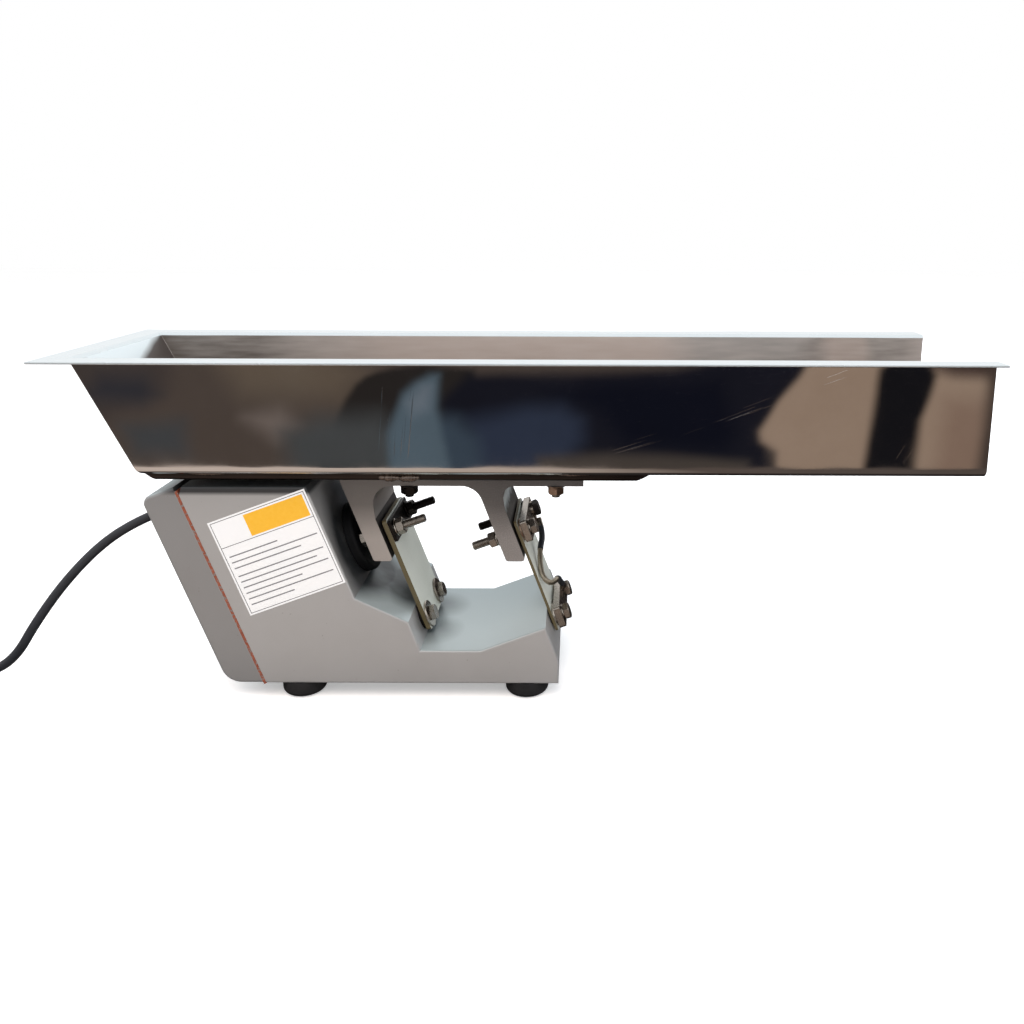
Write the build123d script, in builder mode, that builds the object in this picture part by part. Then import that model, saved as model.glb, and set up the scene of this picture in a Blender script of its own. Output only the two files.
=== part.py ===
"""Electromagnetic linear vibratory feeder: a trough on a cast driven frame, carried by two leaf-spring packs.

Millimetres, +Z up, +X towards the open discharge end. The origin lies on the surface under the feet,
below the middle of the trough.
"""
import os
from math import cos, pi, radians, sin, tan

from build123d import *

os.makedirs("parts", exist_ok=True)

# ---- Driving dimensions -------------------------------------------------------------------------

drive_angle = 20  # the springs lean back this far from upright, and the stroke is square to them

# Trough, one welded sheet
trough_length = 760
trough_inner_width = 152
trough_depth = 97
trough_sheet = 2
flange_width = 21
end_wall_lean = 26.3
trough_bend = 7

# Stiffening pan welded under the trough
pan_depth = 7.5
pan_width = 134
pan_sheet = 2
pan_bend = 4
pan_rear = -313
pan_front = 109
pan_rear_taper = 10
pan_front_taper = 14

# Base housing, rear cover and feet
foot_diameter = 38
foot_height = 14
foot_edge = 5
foot_floor = 5
foot_recess_clearance = 1
foot_span_y = 96
foot_rear_x = -195
foot_front_x = 2.5
base_width = 132
base_height = 178
base_wall = 8
base_edge = 2
pan_gap = 5.5  # air between the housing's top and the vibrating pan
toe_length = 8
valley_height = 31
valley_front_x = -36.7
front_seat_rise = 9
rear_seat_rise = 14
shoulder_rise = 49.8
pot_gap = 19  # air between the rear leg and the pot's slanted face
pot_length = 102
gasket_thickness = 2.5
gasket_shy = 4  # the gasket stops this far below the top of the seam
seam_notch_length = 5
seam_notch_depth = 8
cover_depth = 30
cover_wall = 5
cover_toe_radius = 18
cover_heel_radius = 8
cover_edge = 3

# Spring packs
rear_seat_x = -93.2
seat_height = 44
spring_pitch = 116
bolt_span = 86
bolt_spread = 50
leaf_width = 70
leaf_tail = 11.5
leaf_corner = 3
rear_leaf = 4
front_leaf = 2.5
rear_spacer = 2.2
front_spacer = 1.5
clamp_bar_thickness = 6
clamp_bar_height = 20
bar_corner = 2
clamp_plate_thickness = 3
clamp_washer = 2

# Driven frame casting
frame_width = 80
frame_plate = 12.5
frame_front_x = 52
leg_thickness = 16
leg_tail = 24
leg_toe = 2.5
arch_radius = 19
rear_root_radius = 16
front_root_radius = 9
root_setback = 3
rear_root_length = 30
front_root_length = 21

# Fasteners
bolt_diameter = 8
hex_flats = 13
hex_chamfer = 0.7
head_height = 5.3
nut_height = 6.5
washer_diameter = 16
washer_thickness = 1.6
lock_washer_thickness = 2
lock_washer_diameter = 14
large_washer_diameter = 24
stud_rear_setback = 6
stud_front_setback = 24
stud_span_y = 68
stud_drop = 3
lug_washer_diameter = 20
clamp_bolt_length = 53
front_bolt_extra = 2
lug_thickness = 1.2
lug_width = 7
lug_reach = 11
lug_barrel = 5.6
lug_barrel_length = 8
rear_bolt_grip = 22
front_bolt_grip = 22
bolt_clearance = 0.25
thread_clearance = 0.05
drill_extra = 1  # drilled holes run this far past the end of what they hold
cover_screw_grip = 20
carrier_grip = 16
foot_screw_grip = 12
core_screw_grip = 8
screw_diameter = 6
screw_head_diameter = 10
screw_head_height = 6
screw_socket_flats = 5
small_screw_diameter = 4
small_screw_head = 7

# Magnet drive
stem_drop = 3
stem_diameter = 24
spigot_diameter = 12
spigot_length = 12
stem_clearance = 0.6
armature_width = 50
armature_height = 44
armature_thickness = 12
armature_setback = 4
air_gap = 2.5
core_width = 60
core_height = 50
core_depth = 42
core_yoke = 12
core_pole = 10
core_centre_pole = 20
coil_length = 27
coil_clearance = 0.5
coil_corner = 7
carrier_thickness = 8
carrier_height = 60
carrier_clearance = 0.5
pad_width = 12
boss_diameter = 16
boss_length = 28
boss_floor = 3
boss_sink = 2  # bosses run this far into the side walls
boss_rise = 30
boss_drop = 18
foot_boss_height = 8
boot_diameter = 66
boot_height = 9
boot_edge = 3
boot_neck_diameter = 32
boot_neck_height = 4.5
boot_plug_diameter = 35.6
pot_hole_diameter = 36

# Terminal block on the carrier
terminal_length = 40
terminal_width = 16
terminal_depth = 14
terminal_drop = 18
terminal_screw_spread = 28

# Earth lead from the driven frame to the base, with its free points from top to bottom
upper_lug_turn = -35
lower_lug_turn = -130
earth_diameter = 3.6
earth_exit = 8
earth_route = [
    (12.8, -2.0, 114.5),
    (12.9, -14.0, 106.5),
    (14.8, -23.5, 99.0),
    (18.2, -28.0, 94.2),
    (23.2, -27.0, 90.6),
    (27.0, -19.0, 89.5),
    (29.4, -9.0, 88.5),
]

# Mains lead: gland and sleeve on the cover, cord down to the bench, its spare length wound, plug
cord_diameter = 8.4
cord_clearance = 0.2
gland_level = 166
gland_thread = 16
gland_flats = 22
gland_flange = 4
gland_dome = 20
gland_body = 6
gland_edge = 3
sleeve_length = 20
sleeve_root = 13.6
sleeve_tip = 10.4
sleeve_bore_depth = 6
cord_exit = 20
cord_route = [
    (-384.0, -7.0, 121.5),
    (-416.0, -17.0, 89.0),
    (-443.0, -26.0, 51.5),
    (-463.0, -31.0, 17.5),
    (-488.0, -34.0, 4.2),
    (-520.0, -36.0, 4.2),
]
wound_centre = (-547, -90)
wound_radius = 45
wound_pitch = 8.6
wound_rows = 3
wound_layers = 2
tail_run = 22
tail_lead_in = 18
plug_x = -483
plug_neck = 12
plug_neck_diameter = 17
plug_body = 34
plug_width = 34
plug_height = 27
plug_edge = 6
pin_length = 19
pin_diameter = 5.1
pin_spread = 15
pin_drop = 5
earth_pin_diameter = 7
earth_pin_rise = 7

# ---- Derived places -----------------------------------------------------------------------------

rise, run = cos(radians(drive_angle)), sin(radians(drive_angle))
base_bottom = foot_height
base_top = base_bottom + base_height
pan_bottom = base_top + pan_gap
trough_bottom = pan_bottom + pan_depth
trough_top = trough_bottom + trough_depth
plate_bottom = pan_bottom - frame_plate
seat_z = base_bottom + seat_height
front_seat_x = rear_seat_x + spring_pitch
valley_z = base_bottom + valley_height
half_width = base_width / 2
pot_face = -(leg_thickness + pot_gap)
seam = pot_face - pot_length
cover_face = seam - gasket_thickness - cover_depth
stem_level = bolt_span - stem_drop
bolt_spots = [(-bolt_spread / 2, 0), (bolt_spread / 2, 0)]


def place(seat_x, stroke, up):
    """World (x, z) of a point given along the stroke and up the spring from a lower bolt."""
    return (seat_x + stroke * rise - up * run, seat_z + stroke * run + up * rise)


def drive_plane(seat_x, stroke=0.0, up=0.0, facing=1):
    """A plane square to the stroke: local x runs across the feeder, local z along the stroke."""
    x, z = place(seat_x, stroke, up)
    return Plane(origin=(x, 0, z), x_dir=(0, 1, 0), z_dir=(facing * rise, 0, facing * run))


def height_on(stroke, z):
    """Distance up the spring at which a plane square to the stroke meets a level."""
    return (z - seat_z - stroke * run) / rise


def save(piece, name):
    """Labels a finished piece and writes it."""
    piece.part.label = name
    export_step(piece.part, f"parts/{name}.step")


def hex_bolts(plane, length, spots=bolt_spots):
    """Hexagon-head bolts whose heads sit on the plane, with their shanks behind it."""
    with BuildPart() as bolts:
        with BuildSketch(plane):
            with Locations(*spots):
                RegularPolygon(hex_flats / 2, 6, major_radius=False)
        extrude(amount=head_height)
        chamfer(bolts.faces().sort_by(Axis(plane.origin, plane.z_dir))[-len(spots):].edges(), hex_chamfer)
        with BuildSketch(plane):
            with Locations(*spots):
                Circle(bolt_diameter / 2)
        extrude(amount=-length)
    return bolts


def hex_nuts(plane, spots=bolt_spots):
    """Nuts standing on the plane."""
    with BuildPart() as nuts:
        with BuildSketch(plane):
            with Locations(*spots):
                RegularPolygon(hex_flats / 2, 6, major_radius=False)
        extrude(amount=nut_height)
        chamfer(nuts.faces().sort_by(Axis(plane.origin, plane.z_dir))[-len(spots):].edges(), hex_chamfer)
        with BuildSketch(plane):
            with Locations(*spots):
                Circle(bolt_diameter / 2 + thread_clearance)
        extrude(amount=nut_height, mode=Mode.SUBTRACT)
    return nuts


def washers(plane, thickness, diameter=washer_diameter, spots=bolt_spots):
    """Plain washers lying on the plane."""
    with BuildPart() as rings:
        with BuildSketch(plane):
            with Locations(*spots):
                Circle(diameter / 2)
                Circle(bolt_diameter / 2 + bolt_clearance, mode=Mode.SUBTRACT)
        extrude(amount=thickness)
    return rings


def clamp_bar(plane, thickness):
    """A flat bar across the pack, with its two bolt holes and broken edges."""
    with BuildPart() as bar:
        with BuildSketch(plane):
            RectangleRounded(leaf_width, clamp_bar_height, bar_corner)
            with Locations(*bolt_spots):
                Circle(bolt_diameter / 2 + bolt_clearance, mode=Mode.SUBTRACT)
        extrude(amount=thickness)
    return bar


def leaf_spring(plane, thickness):
    """A glass-fibre leaf with two bolt holes at each end."""
    ends = [(x, y) for x, _ in bolt_spots for y in (-bolt_span / 2, bolt_span / 2)]
    with BuildPart() as leaf:
        with BuildSketch(plane):
            with Locations((0, bolt_span / 2)):
                RectangleRounded(leaf_width, bolt_span + 2 * leaf_tail, leaf_corner)
                with Locations(*ends):
                    Circle(bolt_diameter / 2 + bolt_clearance, mode=Mode.SUBTRACT)
        extrude(amount=thickness)
    return leaf


def socket_screws(plane, length, spots, diameter=screw_diameter):
    """Socket-head screws whose heads sit on the plane, with their shanks behind it."""
    with BuildPart() as screws:
        with BuildSketch(plane):
            with Locations(*spots):
                Circle(screw_head_diameter / 2)
        extrude(amount=screw_head_height)
        with BuildSketch(plane.offset(screw_head_height)):
            with Locations(*spots):
                RegularPolygon(screw_socket_flats / 2, 6, major_radius=False)
        extrude(amount=-screw_head_height / 2, mode=Mode.SUBTRACT)
        with BuildSketch(plane):
            with Locations(*spots):
                Circle(diameter / 2)
        extrude(amount=-length)
    return screws


# ---- Trough: stainless sheet, slanted rear wall, open front, flange on three sides ---------------

trough_half = trough_inner_width / 2 + trough_sheet
trough_rear = -trough_length / 2
trough_front = trough_length / 2
end_wall_top = trough_rear + flange_width
end_wall_bottom = end_wall_top + trough_depth * tan(radians(end_wall_lean))

with BuildPart() as trough:
    with BuildSketch(Plane.XZ):
        Polygon(
            (end_wall_top, trough_top),
            (end_wall_bottom, trough_bottom),
            (trough_front, trough_bottom),
            (trough_front, trough_top),
            align=None,
        )
    extrude(amount=trough_half, both=True)
    bottom_edges = trough.faces().sort_by(Axis.Z)[0].edges().filter_by(GeomType.LINE)
    front_edge = bottom_edges.sort_by(Axis.X)[-1]
    fillet([edge for edge in bottom_edges if edge is not front_edge], trough_bend)
    open_faces = [trough.faces().sort_by(Axis.Z)[-1], trough.faces().sort_by(Axis.X)[-1]]
    offset(amount=-trough_sheet, openings=open_faces)
    mouth_rear = end_wall_top + trough_sheet / cos(radians(end_wall_lean))
    with BuildSketch(Plane.XY.offset(trough_top)):
        Rectangle(trough_length, 2 * (trough_half + flange_width))
        with Locations(((mouth_rear + trough_front) / 2, 0)):
            Rectangle(trough_front - mouth_rear, trough_inner_width, mode=Mode.SUBTRACT)
    extrude(amount=-trough_sheet)
save(trough, "trough")

# ---- Mounting pan: folded doubler welded under the trough, closed by the trough's bottom ---------

with BuildPart() as mounting_pan:
    with BuildSketch(Plane.XZ):
        Polygon(
            (pan_rear, trough_bottom),
            (pan_rear + pan_rear_taper, pan_bottom),
            (pan_front - pan_front_taper, pan_bottom),
            (pan_front, trough_bottom),
            align=None,
        )
    extrude(amount=pan_width / 2, both=True)
    long_edges = mounting_pan.faces().sort_by(Axis.Z)[0].edges().filter_by(Axis.X)
    fillet(long_edges, pan_bend)
    offset(amount=-pan_sheet, openings=mounting_pan.faces().sort_by(Axis.Z)[-1])
    stud_x = (rear_seat_x - stud_rear_setback, frame_front_x - stud_front_setback)
    stud_spots = [(x, y) for x in stud_x for y in (-stud_span_y / 2, stud_span_y / 2)]
    with BuildSketch(Plane.XY.offset(pan_bottom)):
        with Locations(*stud_spots):
            Circle(bolt_diameter / 2 + bolt_clearance)
    extrude(amount=pan_sheet, mode=Mode.SUBTRACT)
save(mounting_pan, "mounting_pan")

# ---- Driven frame: one casting, a plate with two leaning legs and an arch between them -----------

leg_foot = bolt_span - leg_tail


def leg_point(seat_x, stroke, z):
    """A point on a leg's face at a level."""
    return place(seat_x, stroke, height_on(stroke, z))


leg_bottom = place(rear_seat_x, 0, leg_foot)[1]
rear_root = plate_bottom - rear_root_length
front_root = plate_bottom - front_root_length
rear_root_x = leg_point(rear_seat_x, 0, rear_root)[0]
front_root_x = leg_point(front_seat_x, 0, front_root)[0]

with BuildPart() as driven_frame:
    with BuildSketch(Plane.XZ):
        Polygon(
            leg_point(rear_seat_x, -leg_thickness, pan_bottom),
            leg_point(rear_seat_x, -leg_thickness, leg_bottom),
            leg_point(rear_seat_x, 0, leg_bottom),
            (rear_root_x, rear_root),
            (rear_root_x - root_setback, plate_bottom),
            leg_point(front_seat_x, -leg_thickness, plate_bottom),
            leg_point(front_seat_x, -leg_thickness, leg_bottom),
            leg_point(front_seat_x, 0, leg_bottom),
            (front_root_x, front_root),
            (front_root_x - root_setback, plate_bottom),
            (frame_front_x, plate_bottom),
            (frame_front_x, pan_bottom),
            align=None,
        )
    extrude(amount=frame_width / 2, both=True)
    across = driven_frame.edges().filter_by(Axis.Y)


    def cross_edge(x, z):
        """The edge running across the frame nearest to a point of its outline."""
        return across.sort_by_distance((x, 0, z))[0]


    arch_edge = cross_edge(*leg_point(front_seat_x, -leg_thickness, plate_bottom))
    rear_edge = cross_edge(rear_root_x - root_setback, plate_bottom)
    front_edge = cross_edge(front_root_x - root_setback, plate_bottom)
    fillet(arch_edge, arch_radius)
    fillet(rear_edge, rear_root_radius)
    fillet(front_edge, front_root_radius)
    toes = driven_frame.faces().group_by(Axis.Z)[0].edges().filter_by(Axis.Y)
    fillet(toes, leg_toe)
    for seat_x in (rear_seat_x, front_seat_x):
        with BuildSketch(drive_plane(seat_x, 0, bolt_span)):
            with Locations(*bolt_spots):
                Circle(bolt_diameter / 2 + bolt_clearance)
        extrude(amount=-leg_thickness, mode=Mode.SUBTRACT)
    with BuildSketch(drive_plane(rear_seat_x, -leg_thickness, stem_level)):
        Circle(spigot_diameter / 2 + thread_clearance)
    extrude(amount=spigot_length + drill_extra, mode=Mode.SUBTRACT)
    with BuildSketch(Plane.XY.offset(plate_bottom)):
        with Locations(*stud_spots):
            Circle(bolt_diameter / 2 + bolt_clearance)
    extrude(amount=frame_plate, mode=Mode.SUBTRACT)
save(driven_frame, "driven_frame")

# ---- Frame studs: welded in the pan, with washers and nuts under the plate ----------------------

with BuildPart() as frame_studs:
    with BuildSketch(Plane.XY.offset(pan_bottom + pan_sheet)):
        with Locations(*stud_spots):
            Circle(hex_flats / 2)
    extrude(amount=pan_depth - pan_sheet - trough_sheet)
    with BuildSketch(Plane.XY.offset(pan_bottom + pan_sheet)):
        with Locations(*stud_spots):
            Circle(bolt_diameter / 2)
    extrude(amount=-(pan_sheet + frame_plate + washer_thickness + nut_height + stud_drop))
save(frame_studs, "frame_studs")

under_plate = Plane.XY.offset(plate_bottom)
stud_washer_plane = Plane(origin=under_plate.origin, x_dir=(1, 0, 0), z_dir=(0, 0, -1))
mirrored_spots = [(x, -y) for x, y in stud_spots]
save(washers(stud_washer_plane, washer_thickness, spots=mirrored_spots), "frame_washers")
save(hex_nuts(stud_washer_plane.offset(washer_thickness), mirrored_spots), "frame_nuts")

# ---- Base housing: one casting, a pot for the magnet and a valley with the two lower seats -------

toe_x = front_seat_x + toe_length


def housing_outline():
    """Side outline of the base, round from the bottom of the seam."""
    return [
        place(rear_seat_x, seam, height_on(seam, base_bottom)),
        (toe_x, base_bottom),
        (toe_x, seat_z - toe_length / tan(radians(drive_angle))),
        place(front_seat_x, 0, front_seat_rise),
        (valley_front_x, valley_z),
        place(rear_seat_x, 0, height_on(0, valley_z)),
        place(rear_seat_x, 0, rear_seat_rise),
        place(rear_seat_x, pot_face, shoulder_rise),
        place(rear_seat_x, pot_face, height_on(pot_face, base_top)),
        place(rear_seat_x, seam, height_on(seam, base_top)),
    ]


cover_top = height_on(seam, base_top)
boss_y = half_width - base_wall - boss_diameter / 2 + boss_sink
boss_spots = [(y, up) for y in (-boss_y, boss_y) for up in (boss_rise, cover_top - boss_drop)]
foot_spots = [(x, y) for x in (foot_rear_x, foot_front_x) for y in (-foot_span_y / 2, foot_span_y / 2)]
pole_face = pot_face - base_wall - armature_setback - armature_thickness - air_gap
core_back = pole_face - core_depth
pad_y = half_width - base_wall - pad_width / 2
carrier_spots = [(y, up) for y in (-pad_y, pad_y) for up in (-carrier_height / 3, carrier_height / 3)]

with BuildPart() as base_housing:
    with BuildSketch(Plane.XZ):
        Polygon(*housing_outline(), align=None)
    extrude(amount=half_width, both=True)
    rims = base_housing.faces().filter_by(Axis.Y).edges()
    at_seam = drive_plane(rear_seat_x, seam)
    fillet([e for e in rims if abs(at_seam.to_local_coords(e.center()).Z) > 1], base_edge)
    seam_face = base_housing.faces().sort_by(Axis(at_seam.origin, at_seam.z_dir))[0]
    offset(amount=-base_wall, openings=seam_face)
    seats = [(rear_seat_x, rear_bolt_grip), (front_seat_x, front_bolt_grip)]
    for seat_x, grip in seats:
        with BuildSketch(drive_plane(seat_x)):
            with Locations(*bolt_spots):
                Circle(boss_diameter / 2)
        extrude(amount=-(grip + boss_floor))
    with BuildSketch(drive_plane(rear_seat_x, seam)):
        with Locations(*boss_spots):
            Circle(boss_diameter / 2)
    extrude(amount=boss_length)
    with BuildSketch(drive_plane(rear_seat_x, core_back, stem_level)):
        with Locations((-pad_y, 0), (pad_y, 0)):
            Rectangle(pad_width, carrier_height)
    extrude(amount=pot_face - base_wall - core_back)
    with BuildSketch(Plane.XY.offset(base_bottom)):
        with Locations(*foot_spots):
            Circle(boss_diameter / 2)
    extrude(amount=base_wall + foot_boss_height)
    for seat_x, grip in seats:
        with BuildSketch(drive_plane(seat_x)):
            with Locations(*bolt_spots):
                Circle(bolt_diameter / 2 + thread_clearance)
        extrude(amount=-(grip + drill_extra), mode=Mode.SUBTRACT)
    with BuildSketch(drive_plane(rear_seat_x, core_back, stem_level)):
        with Locations(*carrier_spots):
            Circle(screw_diameter / 2 + thread_clearance)
    extrude(amount=carrier_grip + drill_extra, mode=Mode.SUBTRACT)
    with BuildSketch(drive_plane(rear_seat_x, pot_face, stem_level)):
        Circle(pot_hole_diameter / 2)
    extrude(amount=-base_wall, mode=Mode.SUBTRACT)
    with BuildSketch(Plane.XY.offset(base_bottom)):
        with Locations(*foot_spots):
            Circle(screw_diameter / 2 + thread_clearance)
    extrude(amount=foot_screw_grip + drill_extra, mode=Mode.SUBTRACT)
    seam_top_x = place(rear_seat_x, seam, cover_top)[0]
    with BuildSketch(Plane.XZ):
        Polygon(
            (seam_top_x, base_top),
            (seam_top_x + seam_notch_length, base_top),
            place(rear_seat_x, seam, cover_top - seam_notch_depth),
            align=None,
        )
    extrude(amount=half_width, both=True, mode=Mode.SUBTRACT)
    with BuildSketch(drive_plane(rear_seat_x, seam)):
        with Locations(*boss_spots):
            Circle(screw_diameter / 2 + thread_clearance)
    extrude(amount=cover_screw_grip + drill_extra, mode=Mode.SUBTRACT)
save(base_housing, "base_housing")

# ---- Rear cover: cast cap on the slanting seam, hollow, with a screw pillar at each corner --------

cover_seam = seam - gasket_thickness
cover_plane = drive_plane(rear_seat_x, cover_seam, facing=-1)
cover_spots = [(y, -up) for y, up in boss_spots]
cover_back = drive_plane(rear_seat_x, cover_face, facing=-1)
cover_inside = cover_face + cover_wall

with BuildPart() as rear_cover:
    with BuildSketch(Plane.XZ):
        Polygon(
            place(rear_seat_x, cover_seam, height_on(cover_seam, base_bottom)),
            place(rear_seat_x, cover_seam, cover_top),
            place(rear_seat_x, cover_face, cover_top),
            place(rear_seat_x, cover_face, height_on(cover_face, base_bottom)),
            align=None,
        )
    extrude(amount=half_width, both=True)
    cross_edges = rear_cover.edges().filter_by(Axis.Y)
    heel = place(rear_seat_x, cover_face, cover_top)
    toe = place(rear_seat_x, cover_face, height_on(cover_face, base_bottom))
    heel_edge = cross_edges.sort_by_distance((heel[0], 0, heel[1]))[0]
    toe_edge = cross_edges.sort_by_distance((toe[0], 0, toe[1]))[0]
    fillet(heel_edge, cover_heel_radius)
    fillet(toe_edge, cover_toe_radius)
    rims = rear_cover.faces().filter_by(Axis.Y).edges()
    fillet([e for e in rims if abs(cover_plane.to_local_coords(e.center()).Z) > 1], cover_edge)
    seam_face = rear_cover.faces().sort_by(Axis(cover_plane.origin, cover_plane.z_dir))[0]
    offset(amount=-cover_wall, openings=seam_face)
    with BuildSketch(cover_plane):
        with Locations(*cover_spots):
            Circle(boss_diameter / 2)
    extrude(amount=cover_depth - cover_wall)
    with BuildSketch(cover_plane):
        with Locations(*cover_spots):
            Circle(screw_diameter / 2 + bolt_clearance)
    extrude(amount=cover_depth, mode=Mode.SUBTRACT)
    with BuildSketch(cover_back):
        with Locations(*cover_spots):
            Circle(screw_head_diameter / 2 + bolt_clearance)
    extrude(amount=-screw_head_height, mode=Mode.SUBTRACT)
    with BuildSketch(cover_back):
        with Locations((0, -gland_level)):
            Circle(gland_thread / 2 + thread_clearance)
    extrude(amount=-cover_wall, mode=Mode.SUBTRACT)
save(rear_cover, "rear_cover")

with BuildPart() as cover_gasket:
    seam_low = height_on(seam, base_bottom)
    seam_high = cover_top - gasket_shy
    seam_mid = (seam_low + cover_top) / 2
    with BuildSketch(drive_plane(rear_seat_x, cover_seam)):
        with Locations((0, (seam_low + seam_high) / 2)):
            Rectangle(base_width, seam_high - seam_low)
        with Locations((0, seam_mid)):
            inner_height = cover_top - seam_low - 2 * base_wall
            Rectangle(base_width - 2 * base_wall, inner_height, mode=Mode.SUBTRACT)
        with Locations(*boss_spots):
            Circle(boss_diameter / 2)
            Circle(screw_diameter / 2 + bolt_clearance, mode=Mode.SUBTRACT)
    extrude(amount=gasket_thickness)
save(cover_gasket, "cover_gasket")

screw_reach = cover_depth - screw_head_height + gasket_thickness + cover_screw_grip
save(socket_screws(cover_back.offset(-screw_head_height), screw_reach, cover_spots), "cover_screws")

# ---- Feet: rubber buffers held by a screw up into the housing ------------------------------------

foot_recess = foot_height - foot_floor

with BuildPart() as feet:
    with BuildSketch():
        with Locations(*foot_spots):
            Circle(foot_diameter / 2)
    extrude(amount=foot_height)
    fillet(feet.faces().group_by(Axis.Z)[0].edges(), foot_edge)
    with BuildSketch():
        with Locations(*foot_spots):
            Circle(screw_head_diameter / 2 + foot_recess_clearance)
    extrude(amount=foot_recess, mode=Mode.SUBTRACT)
    with BuildSketch():
        with Locations(*foot_spots):
            Circle(screw_diameter / 2 + bolt_clearance)
    extrude(amount=foot_height, mode=Mode.SUBTRACT)
save(feet, "feet")

foot_screw_plane = Plane(origin=(0, 0, foot_recess), x_dir=(1, 0, 0), z_dir=(0, 0, -1))
foot_screw_spots = [(x, -y) for x, y in foot_spots]
foot_screw_length = foot_height - foot_recess + foot_screw_grip
save(socket_screws(foot_screw_plane, foot_screw_length, foot_screw_spots), "foot_screws")

# ---- Spring packs: leaf, spacers and clamps between each leg and the seat below it ---------------

packs = {
    "rear": (rear_seat_x, rear_spacer, rear_leaf),
    "front": (front_seat_x, front_spacer, front_leaf),
}
for name, (seat_x, spacer, leaf) in packs.items():
    save(leaf_spring(drive_plane(seat_x, spacer), leaf), f"{name}_spring")
    save(washers(drive_plane(seat_x), spacer, large_washer_diameter), f"{name}_lower_spacers")
    save(washers(drive_plane(seat_x, 0, bolt_span), spacer), f"{name}_upper_spacers")

# Rear pack, upper end: heads behind the leg, thin plate and nuts in front of the leaf
plate_at = rear_spacer + rear_leaf
plate_front = plate_at + clamp_plate_thickness
rear_upper = drive_plane(rear_seat_x, plate_at, bolt_span)
save(clamp_bar(rear_upper, clamp_plate_thickness), "rear_clamp_plate")
save(washers(rear_upper.offset(clamp_plate_thickness), washer_thickness), "rear_upper_washers")
rear_nut_plane = rear_upper.offset(clamp_plate_thickness + washer_thickness)
save(hex_nuts(rear_nut_plane), "rear_upper_nuts")
rear_head_plane = drive_plane(rear_seat_x, -leg_thickness - lock_washer_thickness, bolt_span, facing=-1)
save(hex_bolts(rear_head_plane, clamp_bolt_length + lock_washer_thickness), "rear_upper_bolts")
rear_leg_back = drive_plane(rear_seat_x, -leg_thickness, bolt_span, facing=-1)
save(washers(rear_leg_back, lock_washer_thickness), "rear_head_washers")

# Rear pack, lower end: large washers and heads in front of the leaf
rear_lower = drive_plane(rear_seat_x, plate_at)
save(washers(rear_lower, clamp_washer, large_washer_diameter), "rear_lower_washers")
rear_lower_length = plate_at + clamp_washer + rear_bolt_grip
save(hex_bolts(rear_lower.offset(clamp_washer), rear_lower_length), "rear_lower_bolts")

# Front pack: the same washer, bar and head at both ends, with nuts behind the leg at the top
bar_at = front_spacer + front_leaf + clamp_washer
bar_front = bar_at + clamp_bar_thickness
for name, up in (("upper", bolt_span), ("lower", 0)):
    leaf_plane = drive_plane(front_seat_x, front_spacer + front_leaf, up)
    save(washers(leaf_plane, clamp_washer, lug_washer_diameter), f"front_{name}_washers")
    save(clamp_bar(leaf_plane.offset(clamp_washer), clamp_bar_thickness), f"front_{name}_clamp_bar")
front_upper = drive_plane(front_seat_x, bar_front, bolt_span)
front_lower = drive_plane(front_seat_x, bar_front)
near_spot, far_spot = bolt_spots
front_bolt_length = clamp_bolt_length + front_bolt_extra
save(hex_bolts(front_upper.offset(lug_thickness), front_bolt_length), "front_upper_bolts")
save(washers(front_upper, lug_thickness, lock_washer_diameter, [near_spot]), "front_upper_head_washer")
save(washers(front_lower, lug_thickness, lock_washer_diameter, [near_spot]), "front_lower_head_washer")
front_leg_back = drive_plane(front_seat_x, -leg_thickness, bolt_span, facing=-1)
nut_seat = front_leg_back.offset(washer_thickness + lock_washer_thickness)
save(washers(front_leg_back, washer_thickness), "front_nut_washers")
lock_plane = front_leg_back.offset(washer_thickness)
save(washers(lock_plane, lock_washer_thickness, lock_washer_diameter), "front_lock_washers")
save(hex_nuts(nut_seat), "front_upper_nuts")
front_lower_length = lug_thickness + bar_front + front_bolt_grip
save(hex_bolts(front_lower.offset(lug_thickness), front_lower_length), "front_lower_bolts")

# ---- Magnet drive: armature on a stem from the rear leg, core and coil on a carrier in the pot ----

stem_back = pot_face - base_wall - armature_setback

with BuildPart() as armature_stem:
    with BuildSketch(drive_plane(rear_seat_x, stem_back, stem_level)):
        Circle(stem_diameter / 2)
    extrude(amount=-leg_thickness - stem_back)
    with BuildSketch(drive_plane(rear_seat_x, -leg_thickness, stem_level)):
        Circle(spigot_diameter / 2)
    extrude(amount=spigot_length)
    with BuildSketch(drive_plane(rear_seat_x, stem_back, stem_level)):
        Circle(screw_diameter / 2 + thread_clearance)
    extrude(amount=core_screw_grip + drill_extra, mode=Mode.SUBTRACT)
save(armature_stem, "armature_stem")

armature_back = stem_back - armature_thickness
head_room = screw_head_height
with BuildPart() as armature:
    with BuildSketch(drive_plane(rear_seat_x, armature_back, stem_level)):
        Rectangle(armature_width, armature_height)
    extrude(amount=armature_thickness)
    with BuildSketch(drive_plane(rear_seat_x, armature_back, stem_level)):
        Circle(screw_head_diameter / 2 + bolt_clearance)
    extrude(amount=head_room, mode=Mode.SUBTRACT)
    with BuildSketch(drive_plane(rear_seat_x, armature_back, stem_level)):
        Circle(screw_diameter / 2 + bolt_clearance)
    extrude(amount=armature_thickness, mode=Mode.SUBTRACT)
save(armature, "armature")

armature_screw_plane = drive_plane(rear_seat_x, armature_back + head_room, stem_level, facing=-1)
armature_screw_length = armature_thickness - head_room + core_screw_grip
save(socket_screws(armature_screw_plane, armature_screw_length, [(0, 0)]), "armature_screw")

core_plane = drive_plane(rear_seat_x, core_back, stem_level)
slot_width = (core_width - 2 * core_pole - core_centre_pole) / 2
slot_y = (core_centre_pole + slot_width) / 2
core_spots = [(-slot_y, 0), (slot_y, 0)]

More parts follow.
